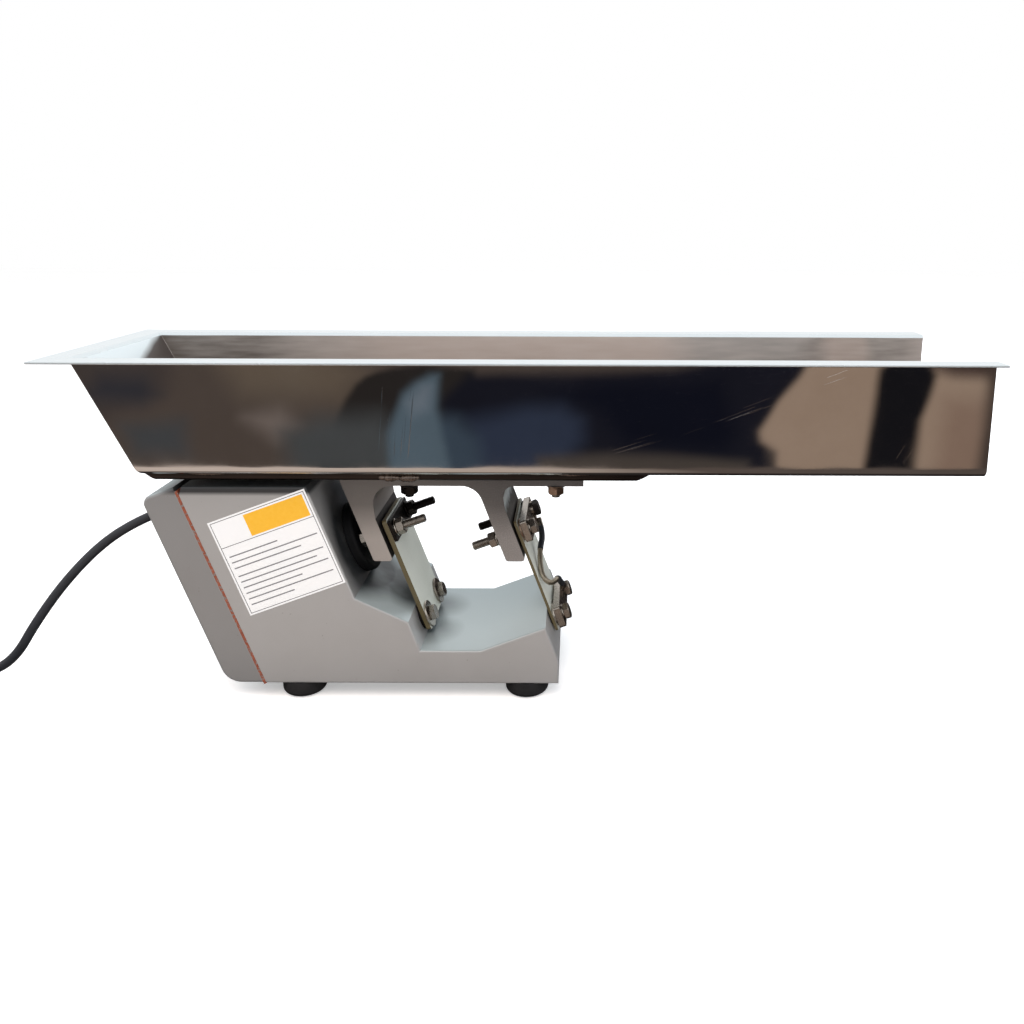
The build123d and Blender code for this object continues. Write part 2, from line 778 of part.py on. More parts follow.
with BuildPart() as magnet_core:
    with BuildSketch(core_plane):
        Rectangle(core_width, core_height)
    extrude(amount=core_depth)
    with BuildSketch(core_plane.offset(core_yoke)):
        with Locations(*core_spots):
            Rectangle(slot_width, core_height)
    extrude(amount=core_depth - core_yoke, mode=Mode.SUBTRACT)
    with BuildSketch(core_plane):
        with Locations(*core_spots):
            Circle(screw_diameter / 2 + thread_clearance)
    extrude(amount=core_screw_grip + drill_extra, mode=Mode.SUBTRACT)
save(magnet_core, "magnet_core")

with BuildPart() as magnet_coil:
    coil_wall = slot_width - 2 * coil_clearance
    with BuildSketch(core_plane.offset(core_yoke)):
        inner_y = core_centre_pole + 2 * coil_clearance
        inner_up = core_height + 2 * coil_clearance
        RectangleRounded(inner_y + 2 * coil_wall, inner_up + 2 * coil_wall, coil_corner)
        Rectangle(inner_y, inner_up, mode=Mode.SUBTRACT)
    extrude(amount=coil_length)
save(magnet_coil, "magnet_coil")

carrier_plane = drive_plane(rear_seat_x, core_back - carrier_thickness, stem_level)
with BuildPart() as magnet_carrier:
    with BuildSketch(carrier_plane):
        Rectangle(base_width - 2 * base_wall - 2 * carrier_clearance, carrier_height)
        with Locations(*carrier_spots, *core_spots):
            Circle(screw_diameter / 2 + bolt_clearance, mode=Mode.SUBTRACT)
    extrude(amount=carrier_thickness)
save(magnet_carrier, "magnet_carrier")

carrier_back = drive_plane(rear_seat_x, core_back - carrier_thickness, stem_level, facing=-1)
save(socket_screws(carrier_back, carrier_thickness + carrier_grip, carrier_spots), "carrier_screws")
save(socket_screws(carrier_back, carrier_thickness + core_screw_grip, core_spots), "core_screws")

# ---- Rubber boot: plugs the pot's hole round the stem, with a free bore ---------------------------

boot_plane = drive_plane(rear_seat_x, pot_face, stem_level)
with BuildPart() as rubber_boot:
    with BuildSketch(boot_plane):
        Circle(boot_diameter / 2)
    extrude(amount=boot_height)
    fillet(rubber_boot.faces().sort_by(Axis(boot_plane.origin, boot_plane.z_dir))[-1].edges(), boot_edge)
    with BuildSketch(boot_plane.offset(boot_height)):
        Circle(boot_neck_diameter / 2)
    extrude(amount=boot_neck_height)
    with BuildSketch(boot_plane):
        Circle(boot_plug_diameter / 2)
    extrude(amount=-base_wall)
    with BuildSketch(boot_plane.offset(-base_wall)):
        Circle(stem_diameter / 2 + stem_clearance)
    extrude(amount=base_wall + boot_height + boot_neck_height, mode=Mode.SUBTRACT)
save(rubber_boot, "rubber_boot")

# ---- Terminal block: moulded block on the back of the carrier -------------------------------------

terminal_level = stem_level - terminal_drop
block_plane = drive_plane(rear_seat_x, core_back - carrier_thickness, terminal_level, facing=-1)
block_spots = [(-terminal_screw_spread / 2, 0), (terminal_screw_spread / 2, 0)]
with BuildPart() as terminal_block:
    with BuildSketch(block_plane):
        Rectangle(terminal_length, terminal_width)
    extrude(amount=terminal_depth)
    with BuildSketch(block_plane.offset(terminal_depth)):
        with Locations(*block_spots):
            Circle(small_screw_head / 2 + bolt_clearance)
    extrude(amount=-terminal_depth / 2, mode=Mode.SUBTRACT)
    with BuildSketch(block_plane):
        with Locations(*block_spots):
            Circle(small_screw_diameter / 2 + thread_clearance)
    extrude(amount=terminal_depth, mode=Mode.SUBTRACT)
save(terminal_block, "terminal_block")

with BuildPart() as terminal_screws:
    with BuildSketch(block_plane.offset(terminal_depth / 2)):
        with Locations(*block_spots):
            Circle(small_screw_head / 2)
    extrude(amount=small_screw_head / 2)
    with BuildSketch(block_plane.offset(terminal_depth / 2)):
        with Locations(*block_spots):
            Circle(small_screw_diameter / 2)
    extrude(amount=-terminal_depth / 2)
save(terminal_screws, "terminal_screws")


def rounded_path(points):
    """Straight runs joined by arcs as large as the two runs at each corner allow."""
    corners = [Vector(point) for point in points]
    radii = []
    for before, corner, after in zip(corners, corners[1:], corners[2:]):
        turn = radians((corner - before).get_angle(after - corner))
        shorter = min((corner - before).length, (after - corner).length)
        radii.append(0.45 * shorter / tan(turn / 2))
    print("radii", [round(radius, 1) for radius in radii])
    return FilletPolyline(*corners, radius=radii)


def round_lead(path, diameter):
    """A round lead along a path."""
    with BuildPart() as lead:
        with BuildLine():
            add(path)
        with BuildSketch(Plane(origin=path @ 0, z_dir=path % 0)):
            Circle(diameter / 2)
        sweep()
    section = pi * diameter**2 / 4
    print("volume over section times length", round(lead.part.volume / section / path.length, 4))
    return lead


# ---- Earth lead: sleeved wire between two ring lugs, flexing across the front spring --------------

lug_end = lug_reach + lug_barrel_length


def lug_point(up, turn, reach):
    """A point on a lug's barrel axis, that far from the far bolt and turned about it from straight down."""
    face = drive_plane(front_seat_x, bar_front, up)
    y = far_spot[0] + reach * sin(radians(turn))
    return face.from_local_coords((y, -reach * cos(radians(turn)), lug_barrel / 2))


def ring_lug(up, turn):
    """Ring lug under the head of the far front bolt, with its barrel in front of the clamp bar."""
    root = lug_point(up, turn, lug_reach)
    with BuildPart() as lug:
        with BuildSketch(drive_plane(front_seat_x, bar_front, up)):
            with Locations(far_spot):
                Circle(lock_washer_diameter / 2)
                with Locations(Location((0, 0, 0), (0, 0, turn))):
                    with Locations((0, -lug_reach / 2)):
                        Rectangle(lug_width, lug_reach)
                Circle(bolt_diameter / 2 + bolt_clearance, mode=Mode.SUBTRACT)
        extrude(amount=lug_thickness)
        with BuildSketch(Plane(origin=root, z_dir=lug_point(up, turn, lug_end) - root)):
            Circle(lug_barrel / 2)
        extrude(amount=lug_barrel_length)
    return lug


save(ring_lug(bolt_span, upper_lug_turn), "upper_earth_lug")
save(ring_lug(0, lower_lug_turn), "lower_earth_lug")
earth_path = rounded_path([
    lug_point(bolt_span, upper_lug_turn, lug_end),
    lug_point(bolt_span, upper_lug_turn, lug_end + earth_exit),
    *earth_route,
    lug_point(0, lower_lug_turn, lug_end + earth_exit),
    lug_point(0, lower_lug_turn, lug_end),
])
save(round_lead(earth_path, earth_diameter), "earth_lead")

# ---- Cable gland: hexagon and dome on the cover, with a tapered rubber sleeve ---------------------

gland_plane = drive_plane(rear_seat_x, cover_face, gland_level, facing=-1)
sleeve_plane = gland_plane.offset(gland_flange + gland_body)
with BuildPart() as cable_gland:
    with BuildSketch(gland_plane):
        RegularPolygon(gland_flats / 2, 6, major_radius=False)
    extrude(amount=gland_flange)
    with BuildSketch(gland_plane.offset(gland_flange)):
        Circle(gland_dome / 2)
    extrude(amount=gland_body)
    dome_end = cable_gland.faces().sort_by(Axis(gland_plane.origin, gland_plane.z_dir))[-1]
    fillet(dome_end.edges(), gland_edge)
    with BuildSketch(gland_plane):
        Circle(gland_thread / 2)
    extrude(amount=-(cover_wall + gland_flange))
save(cable_gland, "cable_gland")

with BuildPart() as cord_sleeve:
    with BuildSketch(sleeve_plane):
        Circle(sleeve_root / 2)
    with BuildSketch(sleeve_plane.offset(sleeve_length)):
        Circle(sleeve_tip / 2)
    loft()
    with BuildSketch(sleeve_plane.offset(sleeve_length)):
        Circle(cord_diameter / 2 + cord_clearance)
    extrude(amount=-sleeve_bore_depth, mode=Mode.SUBTRACT)
save(cord_sleeve, "cord_sleeve")

# ---- Mains lead: round cord to the bench, the wound spare length, and the tail to the plug --------

cord_plane = sleeve_plane.offset(sleeve_length - sleeve_bore_depth)
wound_x, wound_y = wound_centre
wound_outer = wound_radius + (wound_rows - 1) / 2 * wound_pitch
wound_inner = 2 * wound_radius - wound_outer
floor_z = cord_diameter / 2
cord_path = rounded_path([
    cord_plane.origin,
    cord_plane.offset(cord_exit).origin,
    *cord_route,
    (wound_x, wound_y + wound_outer, floor_z),
])
save(round_lead(cord_path, cord_diameter), "power_cord")

with BuildPart() as cord_coil:
    with BuildSketch():
        with Locations(wound_centre):
            Circle(wound_outer + cord_diameter / 2)
            Circle(wound_inner - cord_diameter / 2, mode=Mode.SUBTRACT)
    extrude(amount=(wound_layers - 1) * wound_pitch + cord_diameter)
save(cord_coil, "cord_coil")

tail_y = wound_y - wound_outer
plug_z = plug_height / 2
tail_path = rounded_path([
    (wound_x, tail_y, floor_z),
    (wound_x + tail_run, tail_y, floor_z),
    (plug_x - tail_lead_in, tail_y, plug_z),
    (plug_x, tail_y, plug_z),
])
save(round_lead(tail_path, cord_diameter), "cord_tail")

entry_plane = Plane(origin=(plug_x, tail_y, plug_z), x_dir=(0, 1, 0), z_dir=(1, 0, 0))
with BuildPart() as plug:
    with BuildSketch(entry_plane):
        Circle(sleeve_tip / 2)
    with BuildSketch(entry_plane.offset(plug_neck)):
        Circle(plug_neck_diameter / 2)
    loft()
    with BuildSketch(entry_plane.offset(plug_neck)):
        RectangleRounded(plug_width, plug_height, plug_edge)
    extrude(amount=plug_body)
    with BuildSketch(entry_plane.offset(plug_neck + plug_body)):
        with Locations((-pin_spread / 2, -pin_drop), (pin_spread / 2, -pin_drop)):
            Circle(pin_diameter / 2)
        with Locations((0, earth_pin_rise)):
            Circle(earth_pin_diameter / 2)
    extrude(amount=pin_length)
save(plug, "plug")
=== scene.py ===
"""A linear vibratory feeder: a polished trough on a cast driven frame, carried by two leaf-spring packs.

Metres, +Z up, +X towards the open discharge end, the origin on the floor under the middle of the trough.
"""
from math import cos, pi, radians, sin

import bmesh
import bpy
import numpy as np
from mathutils import Matrix, Vector, noise


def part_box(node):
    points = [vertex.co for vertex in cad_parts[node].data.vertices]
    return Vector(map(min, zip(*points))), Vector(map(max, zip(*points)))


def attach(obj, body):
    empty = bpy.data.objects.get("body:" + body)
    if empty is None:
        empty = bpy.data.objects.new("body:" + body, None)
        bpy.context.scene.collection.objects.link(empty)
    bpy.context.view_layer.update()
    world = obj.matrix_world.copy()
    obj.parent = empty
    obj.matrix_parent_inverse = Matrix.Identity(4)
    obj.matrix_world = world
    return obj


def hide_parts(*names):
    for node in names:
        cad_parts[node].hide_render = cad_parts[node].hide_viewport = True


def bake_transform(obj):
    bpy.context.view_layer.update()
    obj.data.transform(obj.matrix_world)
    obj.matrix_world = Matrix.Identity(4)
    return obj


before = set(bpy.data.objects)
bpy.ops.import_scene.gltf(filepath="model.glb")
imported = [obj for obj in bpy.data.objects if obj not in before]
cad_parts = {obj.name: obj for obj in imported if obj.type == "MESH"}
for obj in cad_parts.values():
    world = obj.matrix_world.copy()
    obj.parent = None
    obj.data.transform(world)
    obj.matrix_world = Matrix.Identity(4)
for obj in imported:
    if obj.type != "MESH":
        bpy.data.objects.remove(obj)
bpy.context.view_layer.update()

# ---- View, floor and light ----------------------------------------------------------------------
# A pale floor with soft lamps, seen by someone standing in front of the feeder's near side.
# Glowing cloths stand out of sight on all sides, painted with the reflections that the polished steel
# shows: only its gloss meets them.
def placed(name, data):
    """An object in the scene with this mesh, curve, lamp or camera."""
    thing = bpy.data.objects.new(name, data)
    bpy.context.collection.objects.link(thing)
    return thing


camera_data = bpy.data.cameras.new("camera")
camera_data.sensor_width, camera_data.lens, camera_data.clip_end = 36, 31.08, 50
camera_data.shift_x, camera_data.shift_y = -0.0637, -0.119
camera = placed("camera", camera_data)
camera.location = (0.0457, -0.7706, 0.4149)
camera.rotation_euler = (radians(90 - 11.24), -0.0036, 0)
bpy.context.scene.camera = camera
bpy.context.scene.view_settings.view_transform = "Standard"


def linear(code):
    """An sRGB hex colour as linear RGBA."""
    parts = [int(code[i:i + 2], 16) / 255 for i in (1, 3, 5)]
    return [p / 12.92 if p <= 0.04045 else ((p + 0.055) / 1.055) ** 2.4 for p in parts] + [1]


def add(tree, kind, inputs={}, **settings):
    """A node of a tree: inputs are values, colour codes, nodes or sockets, settings are its own options."""
    made = tree.nodes.new(kind)
    for key, value in settings.items():
        setattr(made, key, value)
    for key, value in inputs.items():
        if isinstance(value, bpy.types.Node):
            value = value.outputs[0]
        if isinstance(value, bpy.types.NodeSocket):
            tree.links.new(value, made.inputs[key])
        else:
            made.inputs[key].default_value = linear(value) if isinstance(value, str) else value
    return made


def maths(kind, *values):
    """One sum on sockets or numbers, in the tree that the first socket belongs to."""
    tree = next(value.id_data for value in values if isinstance(value, bpy.types.NodeSocket))
    return add(tree, "ShaderNodeMath", dict(enumerate(values)), operation=kind).outputs[0]


def mix(share, under, over):
    """Two colours mixed, each a code or a socket."""
    return add(share.id_data, "ShaderNodeMix", {0: share, 6: under, 7: over}, data_type="RGBA").outputs[2]


def ramp(value, start, end, low=0.0, high=1.0):
    """Low where the value is at start, high where it is at end, straight between and held beyond."""
    return add(value.id_data, "ShaderNodeMapRange", {0: value, 1: start, 2: end, 3: low, 4: high}).outputs[0]


def begin(name):
    """A new material and the coordinates of the piece that wears it."""
    finish = bpy.data.materials.new(name)
    finish.use_nodes = True
    return finish, add(finish.node_tree, "ShaderNodeTexCoord").outputs["Object"]


def surface(finish, colour, rough, metal=0.0, relief=None, strength=0.3, depth=0.0002):
    """Gives a material its colour, roughness, metal and relief, and returns its shader's inputs."""
    tree = finish.node_tree
    shader = tree.nodes["Principled BSDF"].inputs
    tree.links.new(colour, shader["Base Color"])
    shader["Metallic"].default_value = metal
    if isinstance(rough, float):
        shader["Roughness"].default_value = rough
    else:
        tree.links.new(rough, shader["Roughness"])
    if relief:
        bump = add(tree, "ShaderNodeBump", {"Height": relief, "Strength": strength, "Distance": depth})
        tree.links.new(bump.outputs[0], shader["Normal"])
    return shader


def seen_or_mirrored(tree):
    """1 for what the camera, a mirror or glass sees directly, and 0 for the light that falls on things."""
    ray = add(tree, "ShaderNodeLightPath").outputs
    both = maths("MAXIMUM", ray["Is Camera Ray"], ray["Is Glossy Ray"])
    return maths("MAXIMUM", both, ray["Is Transmission Ray"])


world = bpy.data.worlds.new("studio")
world.use_nodes = True
bpy.context.scene.world = world
sky = world.node_tree
background = sky.nodes["Background"].inputs
background["Color"].default_value = (1, 1, 1, 1)
sky.links.new(ramp(seen_or_mirrored(sky), 0, 1, 0.68, 1.0), background["Strength"])


def mesh_piece(name, points, faces, finish=None):
    """A mesh object from points and faces."""
    mesh = bpy.data.meshes.new(name)
    mesh.from_pydata([tuple(p) for p in points], [], faces)
    if finish:
        mesh.materials.append(finish)
    return placed(name, mesh)


# Matt floor paper: it glows white where it is seen, less its own soft shadow, and is a pale grey for the
# light that it throws back.
paper = begin("floor paper, matt white")[0]
tree = paper.node_tree
seen = seen_or_mirrored(tree)
shader = surface(paper, mix(seen, "#c8c6c4", "#f4f4f4"), 0.9)
shader["Emission Color"].default_value = (1, 1, 1, 1)
tree.links.new(maths("MULTIPLY", seen, 0.36), shader["Emission Strength"])
shader["Specular IOR Level"].default_value = 0.1
mesh_piece("floor", [(-6, -6, 0), (6, -6, 0), (6, 6, 0), (-6, 6, 0)], [(0, 1, 2, 3)], paper)

for name, spot, aim, size, power, tone in [
    ("lamp_above_front", (-0.4, -1.3, 2.2), (0.0, 0.0, 0.1), 1.6, 38, "#fff1e9"),
    ("lamp_behind", (0.5, 2.0, 1.0), (0.0, 0.0, 0.08), 1.8, 40, "#eef6ff"),
    ("lamp_left", (-2.0, 0.2, 1.5), (0.0, 0.0, 0.15), 1.5, 12, "#eef5ff"),
    ("lamp_right", (2.1, -0.3, 0.9), (0.0, 0.0, 0.1), 1.5, 12, "#eef5ff"),
]:
    light = bpy.data.lights.new(name, "AREA")
    light.size, light.energy, light.color = size, power, linear(tone)[:3]
    lamp = placed(name, light)
    lamp.location = spot
    lamp.rotation_euler = (Vector(aim) - Vector(spot)).to_track_quat("-Z", "Y").to_euler()
    lamp.visible_camera = lamp.visible_glossy = False

# Each cloth glows with soft patches of painted reflection: how soft, its colour and its outline, metres
# along and up the cloth. Only gloss meets it, so it casts no light and no shadow.
cloth_reach, cloth_height = 1.4, 0.20
# Painted reflections: the patches stand for the room that the trough's near wall mirrors.
near_painted_reflections = [
    (0.05, "#463f3d", [(-1.4, 0.22), (-0.60, 0.22), (-0.62, 0.14), (-0.80, 0.04), (-1.4, 0.04)]),
    (0.05, "#34343a", [(-0.76, 0.120), (-0.73, 0.155), (-0.655, 0.155), (-0.635, 0.125), (-0.66, 0.108)]),
    (0.05, "#45474a", [(-0.70, 0.07), (-0.60, 0.08), (-0.60, 0.02), (-0.68, 0.02)]),
    (0.08, "#665b50", [(-0.56, 0.21), (-0.40, 0.23), (-0.30, 0.16), (-0.34, 0.115), (-0.50, 0.125)]),
    (0.05, "#746a65", [(-0.50, 0.085), (-0.44, 0.10), (-0.41, 0.07), (-0.45, 0.045)]),
    (0.015, "#2b2827", [(-0.39, -0.01), (-0.36, 0.055), (-0.332, 0.115), (-0.318, 0.138), (-0.300, 0.153),
                        (-0.278, 0.163), (-0.25, 0.170), (-0.20, 0.176), (-0.12, 0.168), (-0.12, -0.01)]),
    (0.06, "#494c4e", [(-0.44, 0.06), (-0.38, 0.085), (-0.28, 0.09), (-0.23, 0.03), (-0.23, -0.01),
                       (-0.43, -0.01)]),
    (0.03, "#1a1b24", [(-0.14, -0.02), (-0.18, 0.11), (-0.13, 0.160), (0.10, 0.164), (0.20, 0.171),
                       (0.46, 0.22), (0.358, 0.063), (0.373, -0.02)]),
    (0.05, "#12141f", [(0.00, 0.13), (0.10, 0.150), (0.28, 0.15), (0.31, 0.06), (0.29, 0.03), (0.13, 0.04),
                       (0.08, 0.10)]),
    (0.05, "#30384a", [(-0.14, -0.01), (-0.13, 0.083), (-0.04, 0.104), (0.020, 0.108), (0.056, 0.083),
                       (0.056, 0.047), (0.02, -0.01)]),
    (0.045, "#3d4a58", [(-0.20, 0.09), (-0.15, 0.085), (-0.12, 0.05), (-0.11, -0.01), (-0.20, -0.01)]),
    (0.022, "#566672", [(-0.192, 0.160), (-0.179, 0.160), (-0.184, 0.10), (-0.176, 0.067), (-0.160, -0.01),
                        (-0.262, -0.01), (-0.264, 0.060), (-0.248, 0.097), (-0.236, 0.125), (-0.215, 0.146)]),
    (0.03, "#6c7884", [(-0.205, 0.140), (-0.192, 0.14), (-0.198, 0.10), (-0.222, 0.09), (-0.230, 0.11)]),
    (0.025, "#4a4440", [(-0.02, 0.018), (0.10, 0.024), (0.25, 0.020), (0.33, 0.012), (0.33, -0.02),
                        (-0.02, -0.02)]),
    (0.016, "#9c8878", [(0.440, 0.22), (0.408, 0.158), (0.376, 0.117), (0.345, 0.063), (0.349, 0.046),
                        (0.378, 0.028), (0.378, -0.03), (0.90, -0.03), (0.90, 0.22)]),
    (0.06, "#8b7567", [(0.65, 0.12), (0.73, 0.12), (0.73, -0.02), (0.64, -0.02)]),
    (0.03, "#4a3c38", [(0.60, 0.24), (0.62, 0.172), (0.66, 0.160), (0.80, 0.150), (0.90, 0.24)]),
    (0.020, "#17171b", [(0.538, 0.172), (0.556, 0.186), (0.580, 0.23), (0.600, 0.23), (0.618, 0.186),
                        (0.632, 0.160), (0.624, 0.127), (0.612, 0.083), (0.606, -0.02), (0.518, -0.02),
                        (0.529, 0.067), (0.536, 0.13)]),
    (0.03, "#4a403b", [(0.715, 0.22), (0.710, -0.03), (1.4, -0.03), (1.4, 0.22)]),
]
side_painted_reflections = [(0.05, "#22242c", [(-0.25, -0.01), (-0.20, 0.21), (0.15, 0.21), (0.12, -0.01)])]


glow_cloth = begin("studio cloth, glowing with painted reflections")[0]
tree = glow_cloth.node_tree
# The cloth glows, though it is no lamp, in its painted reflection colours.
glow = add(tree, "ShaderNodeEmission", {"Color": add(tree, "ShaderNodeVertexColor", layer_name="reflection_colour")})
tree.links.new(glow.outputs[0], tree.nodes["Material Output"].inputs["Surface"])


def cloth(name, points, columns, reflection_colour):
    """A glowing cloth that only gloss meets: a grid of points, row by row, each with its painted reflection.
    """
    faces = [(j * columns + i, j * columns + i + 1, (j + 1) * columns + i + 1, (j + 1) * columns + i)
             for j in range(len(points) // columns - 1) for i in range(columns - 1)]
    piece = mesh_piece(name, points, faces, glow_cloth)
    layer = piece.data.color_attributes.new("reflection_colour", "FLOAT_COLOR", "POINT")
    layer.data.foreach_set("color", np.asarray(reflection_colour).ravel())
    for ray in ("camera", "diffuse", "transmission", "volume_scatter", "shadow"):
        setattr(piece, f"visible_{ray}", False)


def hung_cloth(name, ground, patches, turn, distance):
    """An upright glowing cloth that faces the feeder, painted in patches of reflection."""
    columns, rows = 561, 41
    along = np.linspace(-cloth_reach, cloth_reach, columns)
    along, up = np.meshgrid(along, np.linspace(0, cloth_height, rows))
    reflection_colour = np.ones((rows, columns, 4))
    reflection_colour[..., :3] = linear(ground)[:3]
    for soft, code, outline in patches:
        nearest, inside = np.full(along.shape, 9.0), np.zeros(along.shape, bool)
        for (ax, az), (bx, bz) in zip(outline, outline[1:] + outline[:1]):
            dx, dz = bx - ax, bz - az
            reach = np.clip(((along - ax) * dx + (up - az) * dz) / (dx ** 2 + dz ** 2), 0, 1)
            nearest = np.minimum(nearest, np.hypot(along - ax - reach * dx, up - az - reach * dz))
            inside ^= ((az > up) != (bz > up)) & (along < dx * (up - az) / (dz or 1e-9) + ax)
        share = np.clip(0.5 + np.where(inside, nearest, -nearest) / soft, 0, 1)[..., None]
        share = share * share * (3 - 2 * share)
        reflection_colour[..., :3] = reflection_colour[..., :3] * (1 - share) + np.array(linear(code)[:3]) * share
    facing = Matrix.Rotation(turn, 3, "Z")
    cloth(name, [facing @ Vector((x, -distance, z)) for x, z in zip(along.ravel(), up.ravel())], columns, reflection_colour)


hung_cloth("near_cloth", "#514843", near_painted_reflections, 0.0, 0.80)
hung_cloth("far_cloth", "#514843", near_painted_reflections, pi, 0.80)
hung_cloth("right_cloth", "#5a544f", side_painted_reflections, pi / 2, 1.3)
hung_cloth("left_cloth", "#5a544f", side_painted_reflections, -pi / 2, 1.3)

# Glowing mats that only gloss meets paint the bench's reflection: painted shadow under the feeder,
# lighter at its left, dark at its right.
bench_reflection_colours = {-1.4: "#cfc0b6", -0.3: "#cfc0b6", 0.0: "#b9aa9f", 0.2: "#5d534e", 1.4: "#4b4541"}
for name, side, shadow in (("near_mat", -1, 0.07), ("far_mat", 1, 0.45)):
    spots = [(x, y) for y in (0.0, shadow, shadow + 0.09, 0.80) for x in bench_reflection_colours]
    reflection_colour = [linear("#2b2726" if y <= shadow else bench_reflection_colours[x]) for x, y in spots]
    cloth(name, [(x, side * y, 0.0008) for x, y in spots], len(bench_reflection_colours), reflection_colour)

# ---- Mains lead ---------------------------------------------------------------------------------
# Round three-core lead, black rubber jacket, from the sleeve on the rear cover down to the bench.
# The spare length is wound beside the feeder in two layers, nearly three turns in each, and ends in a
# moulded plug.
cord_diameter = 0.0084
wound_centre = Vector((-0.547, -0.090, 0))
wound_radii = (0.0536, 0.0450, 0.0364)
layer_heights = (0.0042, 0.0128)


def eased(value, start, end):
    """0 before start, 1 after end, and smooth between."""
    share = min(max((value - start) / (end - start), 0), 1)
    return share * share * (3 - 2 * share)


def wound_points():
    """The turns, from the outside in on the bench and from the inside out on top, 16 points a turn."""
    points = []
    outer, middle, inner = wound_radii
    per_turn, turns = 16, 5.5
    stretch = 1 / cos(pi / per_turn)
    for step in range(1, int(turns * per_turn)):
        angle = 90 + 360 * step / per_turn
        radius = outer
        for start, end, change in ((270, 450, middle - outer), (630, 810, inner - middle),
                                   (1350, 1530, middle - inner), (1710, 1890, outer - middle)):
            radius += change * eased(angle, start, end)
        height = layer_heights[0] + (layer_heights[1] - layer_heights[0]) * eased(angle, 1035, 1145)
        x, y = radius * stretch * cos(radians(angle)), radius * stretch * sin(radians(angle))
        points.append((wound_centre.x + x, wound_centre.y + y, height))
    return points


lead_points = [
    (-0.331806, 0, 0.147808), (-0.350600, 0, 0.140968), (-0.384, -0.007, 0.1215), (-0.416, -0.017, 0.089),
    (-0.443, -0.026, 0.0515), (-0.463, -0.031, 0.0175), (-0.488, -0.034, 0.0042), (-0.520, -0.036, 0.0042),
    (-0.547, -0.0364, 0.0042),
    *wound_points(),
    (-0.547, -0.1436, 0.0128), (-0.530, -0.1436, 0.0112), (-0.513, -0.1436, 0.0103),
    (-0.498, -0.1436, 0.0128),
    (-0.483, -0.1436, 0.0135), (-0.477, -0.1436, 0.0135),
]


def smooth_line(name, points):
    """A curve drawn smoothly along its points, from the first to the last."""
    curve = bpy.data.curves.new(name, "CURVE")
    curve.dimensions = "3D"
    line = curve.splines.new("NURBS")
    line.points.add(len(points) - 1)
    for point, spot in zip(line.points, points):
        point.co = (*spot, 1)
    line.order_u, line.use_endpoint_u, line.resolution_u = 3, True, 10
    return curve


def noise_at(place, scale, detail, roughness=0.5):
    """Noise between 0 and 1."""
    sizes = {"Vector": place, "Scale": scale, "Detail": detail, "Roughness": roughness}
    return add(place.id_data, "ShaderNodeTexNoise", sizes).outputs[0]


def mottled(name, tones, blotch, rough, metal=0.0, grain=None):
    """A material in blotches of two tones, rough to one degree or between two, under a fine grain.

    Blotch is a noise's scale and detail, and grain also has its strength and depth."""
    finish, place = begin(name)
    cloud = noise_at(place, *blotch)
    if isinstance(rough, tuple):
        rough = ramp(cloud, 0, 1, *rough)
    relief = (noise_at(place, *grain[:2]), *grain[2:]) if grain else ()
    surface(finish, mix(cloud, *tones), rough, metal, *relief)
    return finish


# Extruded rubber: dull black with a soft bluish sheen, faintly dusty from the floor.
rubber_jacket = mottled("rubber cord jacket, extruded, satin black", ("#1b1d22", "#33363d"), (60, 4, 0.6),
                        (0.38, 0.58), grain=(1400, 2, 0.15, 0.0002))
lead_curve = smooth_line("mains_lead", lead_points)
lead_curve.bevel_depth = cord_diameter / 2
lead_curve.bevel_resolution = 6
lead_curve.use_fill_caps = True
lead_curve.materials.append(rubber_jacket)
mains_lead = placed("mains_lead", lead_curve)
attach(mains_lead, "base")
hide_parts("power_cord", "cord_coil", "cord_tail")

# Corners that turn more than this stay sharp.
crease = radians(32)


def finish_edges(piece, edge):
    """Curves shaded smooth, corners kept sharp or broken by that much."""
    work = bmesh.new()
    work.from_mesh(piece.data)
    for face in work.faces:
        face.smooth = True
    for line in work.edges:
        line.smooth = len(line.link_faces) == 2 and line.calc_face_angle(0) < crease
    work.to_mesh(piece.data)
    work.free()
    if edge:
        bevel = piece.modifiers.new("edge", "BEVEL")
        bevel.width, bevel.segments, bevel.limit_method, bevel.angle_limit = edge, 2, "ANGLE", crease
        bevel.harden_normals = True
    level = piece.modifiers.new("shading", "WEIGHTED_NORMAL")
    level.keep_sharp = True


def write_back(work, mesh, finishes, pick):
    """The worked shape in its mesh, each face in the finish that pick gives for its place and facing."""
    mesh.materials.clear()
    for finish in finishes:
        mesh.materials.append(finish)
    for face in work.faces:
        face.material_index = pick(face.calc_center_median(), face.normal) if pick else 0
    work.to_mesh(mesh)
    work.free()


def own_shape(node, name, finishes, pick=None, shape=None):
    """A solid's own shape as a welded mesh, worked on by shape where there is one."""
    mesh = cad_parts[node].data.copy()
    mesh.name = name
    work = bmesh.new()
    work.from_mesh(mesh)
    bmesh.ops.remove_doubles(work, verts=work.verts, dist=2e-6)
    bmesh.ops.dissolve_limit(work, angle_limit=radians(0.3), verts=work.verts, edges=work.edges)
    if shape:
        shape(work)
    write_back(work, mesh, finishes, pick)
    return mesh


def dressed(node, finishes, body, edge=0.0, pick=None, shape=None):
    """A solid's own shape as a finished piece."""
    piece = placed(node + "_piece", own_shape(node, node + "_piece", finishes, pick, shape))
    finish_edges(piece, edge)
    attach(piece, body)
    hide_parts(node)
    return piece


# Moulded PVC plug and its tapered neck, with three solid brass pins.
plug_rubber = mottled("moulded PVC plug, satin black", ("#191a1d", "#2a2b2f"), (90, 3), 0.42,
                      grain=(2200, 2, 0.3, 0.0002))
brass = mottled("turned brass pins, nickel-washed", ("#c9b27a", "#d9cfae"), (300, 4), 0.28, 1.0)
pin_length = 0.0188
pin_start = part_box("plug")[1][0] - pin_length
plug = dressed("plug", [plug_rubber, brass], "base", 0.0008,
               lambda p, n: int(p.x > pin_start))

